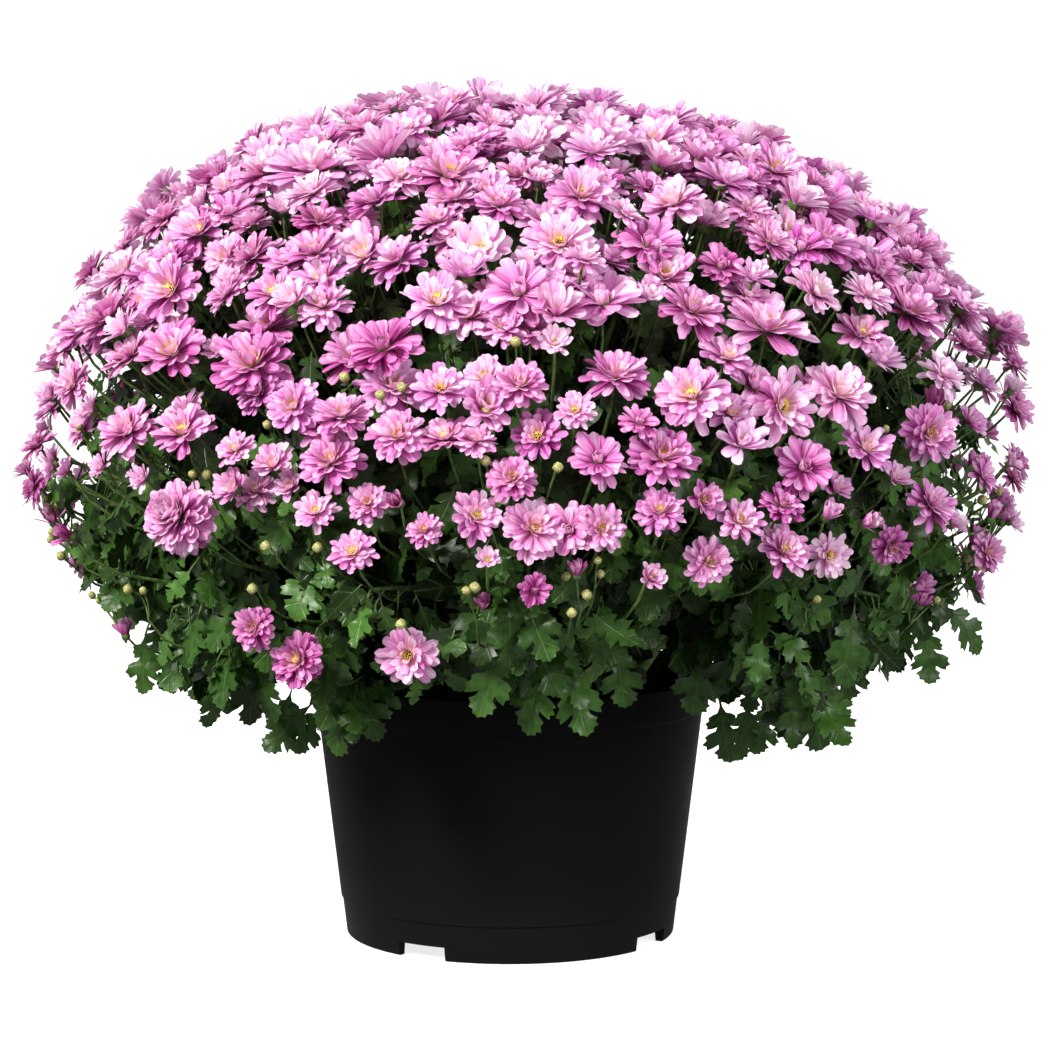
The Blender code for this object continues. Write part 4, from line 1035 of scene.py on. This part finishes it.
def make_sprays(rng, sites, finishes):
    """The blooms and stalks of all sprays; gives the sprays' joints, and each bloom's place, facing and
    radius, for the leaves to keep clear of."""
    groups = gather(sites)
    hubs = [hub_of(members, sites) for members in groups]
    held = [[sites[i] for i in members] for members in groups]
    middles = np.array([np.mean([np.array(site[1]) for site in own], axis=0) for own in held])

    def nearest_spray(place):
        return int(np.argmin(np.linalg.norm(middles - place, axis=1)))

    for site in infill_sites(rng, sites):
        held[nearest_spray(np.array(site[1]))].append(site)
    forks = [[] for _ in groups]
    for fork, members in bud_clusters(rng, sites):
        forks[nearest_spray(fork)].append((fork, members))
    known = [sites[row][1] for row, _, _ in PLACED_LOOKS]
    stood = []
    for number, own in enumerate(held):
        blooms = Parts()
        greens = Parts()
        paths = []
        hub = np.array(hubs[number])
        for kind, place, facing, radius in own:
            if kind == "bud":
                neck = add_bud(greens, place, facing, radius * BUD_SIZE)
                paths.append(add_stalk(greens, rng, neck, np.array(facing), hub, BUD_STALK))
                continue
            if kind == "cover":
                place, facing, radius = natural(rng, place, facing, radius)
            style, tone = bloom_style(rng, kind, radius, place.z)
            if place in known:
                style, pale = PLACED_LOOKS[known.index(place)][1:]
                tone = (pale, *KNOWN_TONE)
            if style == "brush":
                radius = min(radius, BRUSH_RADIUS)
            if kind == "placed":
                radius *= PLACED_SIZE
            if kind in UPTURN:
                facing = (facing + Vector((0, 0, UPTURN[kind] * rng.uniform(0.2, 1.0)))).normalized()
            neck = add_bloom(blooms, greens, rng, style, place, facing, radius, tone)
            paths.append(add_stalk(greens, rng, neck, np.array(facing), hub, BLOOM_STALK))
            stood.append((*place, *facing, radius))
        for fork, members in forks[number]:
            for kind, place, facing, radius in members:
                if kind == "bud":
                    neck = add_bud(greens, place, facing, radius)
                else:
                    style, tone = bloom_style(rng, kind, radius, place.z)
                    neck = add_bloom(blooms, greens, rng, style, place, facing, radius, tone)
                add_fork(greens, neck, np.array(facing), fork)
            paths.append(add_stalk(greens, rng, fork, unit(fork - STALK_ORIGIN), hub, FORK_THICK[1]))
        add_stalk_leaves(greens, rng, paths)
        node = f"spray_{number + 1:02d}"
        dressed(blooms.piece(f"{node}_blooms", finishes["bloom"]), node)
        dressed(greens.piece(f"{node}_stalks", finishes["green"]), node)
    stood = np.array(stood)
    return hubs, (stood[:, :3], stood[:, 3:6], stood[:, 6])


def natural(rng, place, facing, radius):
    """A cover bloom's true size, smaller low down where more leaves show, and a little off its site."""
    radius *= TRUE_SIZE * rng.uniform(*SIZE_SPAN) * (LOW_SIZE if place.z < LOW_COVER else 1.0)
    radius *= SIDE_SIZE if at_side(place) else 1.0
    high = (place.z - DOME_Z) / DOME_UP
    radius *= 1.0 + HIGH_GROWTH * max(0.0, high)
    moved = place + Vector(rng.uniform(-COVER_STRAY, COVER_STRAY, 3)) - facing * COVER_SINK
    lift = Vector((0.0, 0.0, COVER_LIFT * rng.uniform() * (1.0 - 1.6 * max(0.0, high))))
    turned_to = (facing + lift + Vector(rng.normal(0.0, COVER_LEAN, 3))).normalized()
    return moved, turned_to, radius


def at_side(place):
    """Whether a place is low down on either side of the plant."""
    return abs(place.x - DOME_X) > SIDE_REACH and place.z < SIDE_HEIGHT


def bud_clusters(rng, sites):
    """Clusters of up to four closed buds or brushes of furled petals, clear of the blooms, each with the
    place below it where its stalk forks."""
    places = np.array([np.array(site[1]) for site in sites])
    rooms = np.array([site[3] for site in sites])
    found = []
    for _ in range(BUD_CLUSTERS):
        direction = heading(rng.uniform(-180.0, 180.0), rng.uniform(-0.45, 0.45))
        members = []
        for _ in range(rng.randint(1, 5)):
            aside = (direction + Vector(rng.normal(0.0, CLUSTER_SPREAD, 3))).normalized()
            place, normal = dome_point(aside, 1.0, rng.uniform(*CLUSTER_DEPTH))
            facing = (normal * 0.8 + Vector((0, 0, 0.8)) + Vector(rng.normal(0.0, 0.25, 3))).normalized()
            if (np.linalg.norm(places - np.array(place), axis=1) > rooms * 0.85 + 0.005).all():
                if rng.uniform() < BRUSH_SHARE * (RIGHT_BRUSHES if place.x > 0.12 else 1.0):
                    facing = (facing * 0.6 + Vector((0, 0, 1))).normalized()
                    members.append(("brush", place, facing, rng.uniform(BRUSH_LEAST, BRUSH_RADIUS)))
                else:
                    members.append(("bud", place, facing, rng.uniform(*BUD_SPAN)))
        if members:
            middle = np.mean([np.array(member[1]) for member in members], axis=0)
            outward = np.array(dome_point(direction, 1.0)[1])
            found.append((middle - outward * 0.010 - [0.0, 0.0, rng.uniform(*FORK_DROP)], members))
    return found


# Leaves

# Half outline of a blade: along the leaf and out to one side, as shares of its length
LEAF_OUTLINE = [
    (0.10, 0.024), (0.19, 0.070), (0.21, 0.140), (0.25, 0.215), (0.30, 0.215), (0.34, 0.280), (0.38, 0.255),
    (0.43, 0.270), (0.43, 0.195), (0.41, 0.105), (0.47, 0.145), (0.50, 0.250), (0.55, 0.325), (0.60, 0.300),
    (0.67, 0.375), (0.70, 0.315), (0.76, 0.320), (0.74, 0.235), (0.69, 0.125), (0.75, 0.135), (0.81, 0.230),
    (0.85, 0.180), (0.91, 0.195), (0.92, 0.120), (0.97, 0.105), (0.975, 0.050),
]
LEAF_INNER = [(0.20, 0.0), (0.38, 0.0), (0.54, 0.0), (0.70, 0.0), (0.86, 0.0),
              (0.31, 0.145), (0.58, 0.200), (0.81, 0.095)]
# A plainer half outline, for leaves on the stalks and deep in the bush
PLAIN_OUTLINE = [
    (0.14, 0.040), (0.24, 0.215), (0.36, 0.285), (0.39, 0.100), (0.48, 0.290), (0.58, 0.290), (0.65, 0.380),
    (0.66, 0.125), (0.77, 0.225), (0.84, 0.150), (0.93, 0.120),
]
PLAIN_INNER = [(0.24, 0.0), (0.52, 0.0), (0.77, 0.0)]
LEAF_FOOT = 0.012            # half the width of a blade where its stalk begins
# Leaves that are known one by one: foot in millimetres, turn of the tip from straight down towards
# +X in degrees, and length in millimetres
PLACED_LEAVES = [
    (-220, -10, 184, -6, 38), (-114, -110, 157, -48, 40), (-108, -112, 156, -26, 33),
    (-103, -110, 165, 34, 34), (6, -160, 190, 13, 34), (-90, -200, 221, -11, 40), (7, -220, 226, -6, 42),
    (155, -50, 149, -16, 34), (-12, -200, 214, -26, 40), (263, 0, 199, 50, 36), (251, -20, 190, 0, 36),
    (60, -190, 205, 8, 38), (-150, -150, 205, -20, 40), (-60, -205, 213, 20, 36), (110, -175, 200, -12, 40),
    (190, -120, 205, 14, 38), (124, -70, 152, 6, 38), (140, -95, 156, -10, 36), (178, -50, 162, 14, 36),
    (-128, -80, 160, -14, 34),
]


def leaf_template(kind):
    """The flat lobed blade, as points and triangles, with its midrib and the middles of its lobes."""
    outline, middles = (LEAF_OUTLINE, LEAF_INNER) if kind == "fine" else (PLAIN_OUTLINE, PLAIN_INNER)
    left = [(x, -y) for x, y in reversed(outline)]
    rim = [(0.0, LEAF_FOOT), *outline, (1.0, 0.0), *left, (0.0, -LEAF_FOOT)]
    inner = [(x, y * side) for x, y in middles for side in ((1, -1) if y else (1,))]
    points = [Vector(p) for p in rim + inner]
    flat, _, faces, _, _, _ = geometry.delaunay_2d_cdt(points, [], [list(range(len(rim)))], 1, 1e-6)
    return np.array([tuple(p) for p in flat]), [list(f) for f in faces]


def leaf_shapes(rng, kind, places, along, face, lengths):
    """Blades at many places at once: points, and the along-and-across that their material reads."""
    flat, triangles = leaf_template(kind)
    count = len(places)
    along = unit(along)
    face = unit(face - along * (face * along).sum(axis=1, keepdims=True))
    across = np.cross(face, along)

    def drawn(low, high):
        return rng.uniform(low, high, count)[:, None]

    x = flat[None, :, 0]
    y = flat[None, :, 1] * LEAF_WIDTH * drawn(0.85, 1.12)
    droop = drawn(0.05, 0.34)
    fold = drawn(0.05, 0.40)
    wave = drawn(0.02, 0.09)
    phase = drawn(0.0, 2.0 * math.pi)
    hook = rng.normal(0.0, LEAF_HOOK, count)[:, None]
    high = fold * np.abs(y) - droop * x ** 2 - 0.7 * y ** 2
    high = high + wave * np.sin(LEAF_WAVES * x + phase) * np.minimum(1.0, np.abs(y) * 5.0)
    shape = (along[:, None] * x[:, :, None] + across[:, None] * (y + hook * x ** 2)[:, :, None]
             + face[:, None] * high[:, :, None])
    vertices = places[:, None] + shape * lengths[:, None, None]
    size = len(flat)
    faces = [[i + size * k for i in t] for k in range(count) for t in triangles]
    blade = np.tile(np.column_stack([flat, np.zeros(size)]), (count, 1))
    return vertices, faces, blade


def shoot_ends(rng):
    """Where the leafy shoots end: close round the skirt, more open under the blooms."""
    ends = []
    for number in range(SHOOTS):
        share = (number + 0.5) / SHOOTS
        if share < SKIRT_SHARE:
            rise = SHOOT_LOW + 1.02 * share / SKIRT_SHARE
        else:
            rise = 0.32 + 0.66 * (share - SKIRT_SHARE) / 0.38
        azimuth = (number * GOLDEN + rng.uniform(-6.0, 6.0) + 180.0) % 360.0 - 180.0
        if abs(azimuth) < RIM_BARE and rise < RIM_RISE:
            continue
        ends.append((heading(azimuth, rise), rng.uniform(*(OUTER_SHOOT if rise < 0.3 else CROWN_SHOOT))))
    return ends


def clear_of_pot(vertices):
    """Blades that hang before the pot lie over its rim: push what would be in its wall out of it."""
    plan = np.linalg.norm(vertices[..., :2], axis=-1)
    wall = POT_FOOT_RADIUS + POT_STEP + POT_COLLAR + POT_DRAFT * POT_HEIGHT + 0.0015
    low = (vertices[..., 2] < POT_HEIGHT + 0.001) & (plan < wall)
    out = vertices.copy()
    out[..., :2] *= np.where(low, wall / np.maximum(plan, 0.02), 1.0)[..., None]
    return out


def make_leafy_stems(rng, hubs, blooms, finishes):
    """The wood and the leaves of all leafy stems: a stem each, a branch to each spray's joint, and the
    shoots with their leaves."""
    lobes, feet, tops = (np.array(places) for places in zip(*stem_layout()))
    leaves = [Parts() for _ in lobes]
    wood = [Parts() for _ in lobes]

    def owner_of(place):
        return int(np.argmin(np.linalg.norm((lobes - place) * [1, 1, 0], axis=1)))

    def branch(owner, start, end, arch, stray, points, thick, sides):
        middle = (end + start) / 2.0 + np.array([0, 0, arch]) + rng.normal(0.0, stray, 3)
        path = bezier(start, middle, end, points)
        wood[owner].stalk(path, *thick, sides)
        return path

    for number, (foot, top) in enumerate(zip(feet, tops)):
        branch(number, foot, top, 0.0, 0.004, 7, STEM_THICK, 8)
    for hub in hubs:
        owner = owner_of(hub)
        branch(owner, tops[owner], np.array(hub), 0.02, 0.006, 8, BRANCH_THICK, 6)
    for direction, scale in shoot_ends(rng):
        end, outward = dome_point(direction, scale)
        owner = owner_of(end)
        path = branch(owner, tops[owner], np.array(end), 0.035, 0.008, 9, SHOOT_THICK, 5)
        add_leaves(leaves[owner], rng, path, np.array(outward), direction.z, blooms)
    for x, y, z, turn, length in PLACED_LEAVES:
        foot = np.array([x, y, z]) / 1000.0
        add_placed_leaf(leaves[owner_of(foot)], rng, foot, math.radians(turn), length / 1000.0)
    for number in range(len(lobes)):
        node = f"leafy_stem_{number + 1:02d}"
        dressed(leaves[number].piece(f"{node}_leaves", finishes["leaf"]), node)
        dressed(wood[number].piece(f"{node}_branches", finishes["green"][:1]), node)


def add_placed_leaf(parts, rng, foot, turn, length):
    """A leaf that hangs before the bush on its own petiole, with its upper side to the front."""
    along = np.array([[math.sin(turn), -0.12, -math.cos(turn)]])
    inward = unit(np.array([DOME_X, 0.0, foot[2] + 0.05]) - foot)
    face = unit(np.array([[foot[0] * 1.5, -1.0, 0.45]]))
    vertices, faces, blade = leaf_shapes(rng, "fine", foot[None], along, face, np.array([length]))
    shift = into_box(vertices)
    parts.take(clear_of_pot(vertices + shift), faces, 0, blade, (PLACED_LEAF_AGE, 0.0, rng.uniform()))
    start = foot + shift[0, 0] + unit(along[0]) * 0.002
    path = bezier(start, start + [0.0, 0.0, 0.016], start + [0.0, 0.0, 0.020] + inward * 0.050, 6)
    parts.stalk(path, 0.0007, 0.0012, 4, 1)


def clear_of_blooms(ribs, blooms):
    """Which leaves, by three places on each midrib, are neither in a bloom nor right before it."""
    places, facings, radii = blooms
    clear = np.ones(len(ribs), bool)
    for ahead, size in ((0.0, 0.75), (1.0, 0.65)):
        middles = places + facings * (ahead * radii)[:, None]
        away = np.linalg.norm(ribs[:, :, None] - middles, axis=3)
        clear &= (away > size * radii + 0.002).all(axis=(1, 2))
    return clear


def add_leaves(parts, rng, path, outward, rise, blooms):
    """Leaves along a shoot, each a turn of the golden angle from the last: large plain ones in the
    dark of the bush, finer ones on the outer part."""
    crown = rise >= CROWN_FROM
    deep = (CROWN_LEAVES, 0.30, 0.92) if crown else (DEEP_LEAVES, 0.12, 0.46)
    fine = (SHOOT_LEAVES if rise < 0.35 else SHOOT_LEAVES - 2, 0.44, 1.0)
    for kind, (count, first, last) in (("plain", deep), ("fine", fine)):
        share = np.linspace(first, last, count) ** 0.8
        roots = points_on(np.broadcast_to(path, (count, *path.shape)), share)
        east = unit(np.cross([0.0, 0.0, 1.0], outward) + [1e-6, 0.0, 0.0])
        north = np.cross(outward, east)
        turn = np.arange(count) * SEED_TURN + rng.uniform(0.0, 2.0 * math.pi)
        sideways = np.cos(turn)[:, None] * east + np.sin(turn)[:, None] * north
        # high up both kinds hang, and close the crown against the light behind it
        sag = rng.uniform(0.55, 1.70, count) * (1.0 if rise < 0.2 else 0.80)
        sag *= 0.15 if kind == "plain" and rise < 0.2 else 1.0
        along = unit(0.62 * sideways + 0.50 * outward + sag[:, None] * [0.0, 0.0, -1.0])
        face = unit(outward * 0.75 + np.array([0.0, -0.15, 0.60]) + rng.normal(0.0, 0.45, (count, 3)))
        lengths = LEAF_LENGTH * rng.uniform(*LEAF_SPAN, count) * (CROWN_LEAF if crown else 1.0)
        lengths *= np.where(share > 0.96, 0.6, 1.0) * (1.25 if kind == "plain" else 1.0)
        feet = roots + along * (lengths * rng.uniform(*PETIOLE_SPAN, count))[:, None]
        ribs = feet[:, None] + along[:, None] * lengths[:, None, None] * np.array([[0.2], [0.55], [0.9]])
        free = clear_of_blooms(ribs, blooms)
        if kind == "plain":
            free &= ribs[:, :, 2].min(axis=1) > RIM_CLEAR
        if not free.any():
            continue
        kept = (v[free] for v in (share, roots, feet, along, face, lengths))
        share, roots, feet, along, face, lengths = kept
        vertices, faces, blade = leaf_shapes(rng, kind, feet, along, face, lengths)
        shift = into_box(vertices)
        vertices += shift
        feet += shift[:, 0]
        # painted shade: a shoot's first leaves, deep in the bush, are darker than its last, the plain ones
        # darker still; the last are paler also for their youth
        age = np.clip(LEAF_AGE_AND_SHADE * share ** 3 + rng.normal(0.0, 0.12, len(share)) - 0.12, 0.0, 0.55)
        age -= PLAIN_PAINTED_SHADE if kind == "plain" else 0.0
        parts.take(clear_of_pot(vertices), faces, 0, blade, leaf_tones(rng, age, vertices.shape[1]))
        petioles = clear_of_pot(np.stack([roots, feet + along * 0.002], axis=1))
        parts.take(*tubes(petioles, np.tile(PETIOLE_THICK, (len(share), 1)), 3), 1)


# Pot and soil

def rounded(profile, corners, size):
    """Round the named corners of a profile with three points each."""
    out = []
    for number, point in enumerate(profile):
        if number not in corners:
            out.append(point)
            continue
        here = np.array(point)
        before = np.array(profile[number - 1])
        after = np.array(profile[(number + 1) % len(profile)])
        start = here + unit(before - here) * size
        end = here + unit(after - here) * size
        for share in (0.0, 0.25, 0.5, 0.75, 1.0):
            out.append(tuple(start * (1 - share) ** 2 + here * 2 * share * (1 - share) + end * share ** 2))
    return out


def wall_radius(height):
    """The outer radius of the pot's wall at a height, below the collar."""
    ledge = POT_STEP if height > POT_STEP_HEIGHT else 0.0
    return POT_FOOT_RADIUS + ledge + POT_DRAFT * height


def make_pot(finish):
    """The pot's turned wall, collar, step and raised floor, with the notches cut through its foot."""
    collar_low = wall_radius(POT_COLLAR_LOW)
    collar_out = collar_low + POT_COLLAR
    rim_out = collar_out + POT_DRAFT * (POT_HEIGHT - POT_COLLAR_LOW)
    ring_in = POT_FOOT_RADIUS - POT_FOOT_RING
    profile = [
        (0.0, 0.0),
        (POT_HUB_RADIUS, 0.0),
        (POT_HUB_RADIUS, POT_FLOOR_UNDER),
        (ring_in - 0.001, POT_FLOOR_UNDER),
        (ring_in, 0.0),
        (POT_FOOT_RADIUS, 0.0),
        (wall_radius(POT_STEP_HEIGHT), POT_STEP_HEIGHT),
        (wall_radius(POT_STEP_HEIGHT + 0.001), POT_STEP_HEIGHT + 0.001),
        (collar_low, POT_COLLAR_LOW),
        (collar_out, POT_COLLAR_LOW),
        (rim_out, POT_HEIGHT),
        (rim_out - POT_WALL - 0.001, POT_HEIGHT),
        (collar_out - POT_WALL - 0.001, POT_COLLAR_LOW - 0.002),
        (wall_radius(POT_COLLAR_LOW - 0.004) - POT_WALL, POT_COLLAR_LOW - 0.004),
        (wall_radius(POT_FLOOR_TOP) - POT_WALL, POT_FLOOR_TOP),
        (0.0, POT_FLOOR_TOP),
    ]
    profile = rounded(profile, (5, 9, 10, 11), LIP)
    vertices, faces = turned(profile, POT_SIDES)
    pot = mesh_piece("nursery_pot", vertices, faces, [finish])
    weld(pot)
    for number in range(NOTCHES):
        cut(pot, notch_cutter(NOTCH_AZIMUTH + number * 360.0 / NOTCHES))
    pot.data.set_sharp_from_angle(angle=math.radians(POT_SHARP))
    return pot


def weld(item):
    """Close the turned form at its axis."""
    item.modifiers.new("weld", "WELD").merge_threshold = 0.00002
    apply_modifiers(item)


def apply_modifiers(item):
    graph = bpy.context.evaluated_depsgraph_get()
    result = bpy.data.meshes.new_from_object(item.evaluated_get(graph))
    item.modifiers.clear()
    item.data = result


def cut(item, cutter):
    """Cut one form out of another, and remove the cutter."""
    change = item.modifiers.new("cut", "BOOLEAN")
    change.operation = "DIFFERENCE"
    change.object = cutter
    change.solver = "EXACT"
    apply_modifiers(item)
    bpy.data.objects.remove(cutter, do_unlink=True)


def notch_cutter(azimuth):
    """A block across the foot ring, from inside it to outside the wall."""
    out = around(azimuth)
    side = Vector((-out.y, out.x, 0.0))
    near = POT_FOOT_RADIUS - POT_FOOT_RING - 0.004
    far = POT_FOOT_RADIUS + 0.008
    vertices = []
    for height in (-0.001, NOTCH_HEIGHT):
        for along, across in ((near, -1), (far, -1), (far, 1), (near, 1)):
            vertices.append(tuple(out * along + side * (across * NOTCH_WIDTH / 2) + Vector((0, 0, height))))
    faces = [(3, 2, 1, 0), (4, 5, 6, 7), (0, 1, 5, 4), (1, 2, 6, 5), (2, 3, 7, 6), (3, 0, 4, 7)]
    return mesh_piece("notch_cutter", vertices, faces, [])


def make_soil(rng, finish):
    """The peat: a turned block inside the wall whose top is lumpy."""
    shoulder = POT_COLLAR_LOW - 0.005
    bottom = POT_FLOOR_TOP + SOIL_GAP
    inside = wall_radius(shoulder) - POT_WALL - SOIL_GAP
    profile = [(0.0, bottom), (wall_radius(bottom) - POT_WALL - SOIL_GAP, bottom), (inside, shoulder)]
    for number in range(1, SOIL_RINGS + 1):
        profile.append((inside * (1.0 - number / SOIL_RINGS) ** 0.9, SOIL_TOP))
    vertices, faces = turned(profile, SOIL_SIDES)
    top = vertices[:, 2] > SOIL_TOP - 0.0005
    rough = np.zeros(len(vertices))
    for number, (a, b, c, d) in enumerate(rng.uniform(0.0, 1.0, (SOIL_WAVES, 4))):
        pitch = 60.0 * 1.7 ** number
        along = np.sin(vertices[:, 0] * pitch * (0.6 + a) + 6.3 * b)
        across = np.sin(vertices[:, 1] * pitch * (0.6 + c) + 6.3 * d)
        rough += along * across * 0.62 ** number
    vertices[:, 2] += np.where(top, CRUMB * (rough * 0.5 - 0.9), 0.0)
    soil = mesh_piece("peat_in_pot", vertices, faces, [finish])
    weld(soil)
    return soil


# The whole

def dressed(item, node):
    """Ride the piece on the part and let it stand for its node."""
    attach(item, "root")
    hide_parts(node)
    return item


# The floor, which turns up far out, and the lamps: name, place, width, power and colour
FLOOR = [(0.0, 0.0), (9.0, 0.0), (10.5, 0.25), (11.6, 1.1), (12.0, 2.5), (12.0, 6.0)]
FLOOR_SIDES = 64
FLOOR_UNDER = 0.0002         # how far it lies under the pot's foot
LAMPS = [
    ("key", (-1.9, -2.1, 2.2), 1.0, 178.0, "#FFFDF9"),
    ("fill", (2.2, -2.0, 1.5), 1.6, 63.0, "#FBFCFF"),
    ("back", (0.6, 2.0, 2.4), 1.4, 14.0, "#FFFFFF"),
]
LAMP_AIM = Vector((DOME_X, 0.0, 0.26))
SKY = 0.40


def aimed(name, data, place, aim):
    """A lamp or a camera that stands at a place and looks at another."""
    item = bpy.data.objects.new(name, data)
    item.location = place
    item.rotation_euler = (Vector(aim) - Vector(place)).to_track_quat("-Z", "Y").to_euler()
    bpy.context.scene.collection.objects.link(item)
    return item


def make_stage():
    """A wide pale floor and soft studio light: a large key from the upper left, fill and a back light."""
    floor = mesh_piece("floor", *turned(FLOOR, FLOOR_SIDES), [floor_material()])
    floor.location.z = -FLOOR_UNDER
    # a dark flag under the bush: the white floor shows and takes shadows, and throws no light back up
    floor.visible_diffuse = False
    floor.visible_glossy = False
    floor.visible_transmission = False
    for name, place, size, power, tint in LAMPS:
        light = bpy.data.lights.new(name, "AREA")
        light.shape = "DISK"
        light.size = size
        light.energy = power
        light.color = linear(tint)[:3]
        aimed(name, light, place, LAMP_AIM)
    world = bpy.data.worlds.new("studio")
    world.use_nodes = True
    sky = world.node_tree.nodes["Background"]
    sky.inputs["Color"].default_value = (1.0, 1.0, 1.0, 1.0)
    sky.inputs["Strength"].default_value = SKY
    bpy.context.scene.world = world
    bpy.context.scene.view_settings.view_transform = "Standard"
    bpy.context.scene.view_settings.look = "None"


def make_camera():
    """A camera of the photograph's own focal length, on its own place."""
    lens = bpy.data.cameras.new("camera")
    lens.sensor_fit = "HORIZONTAL"
    lens.sensor_width = SENSOR
    lens.lens = FOCAL_PIXELS / IMAGE_PIXELS * SENSOR
    lens.clip_start = 0.05
    lens.clip_end = 40.0
    bpy.context.scene.camera = aimed("camera", lens, CAMERA_PLACE, CAMERA_AIM)


def build():
    make_camera()
    make_stage()
    stem = stem_material()
    leaf = leaf_material()
    finishes = {
        "bloom": [petal_material(), floret_material()],
        "green": [stem, bud_material(), leaf],
        "leaf": [leaf, stem],
    }
    sites = place_sites(np.random.RandomState(SEED))
    looks = np.random.RandomState(LOOKS_SEED)
    dressed(make_pot(pot_material()), "pot")
    dressed(make_soil(looks, peat_material()), "soil")
    hubs, blooms = make_sprays(looks, sites, finishes)
    make_leafy_stems(looks, hubs, blooms, finishes)


build()
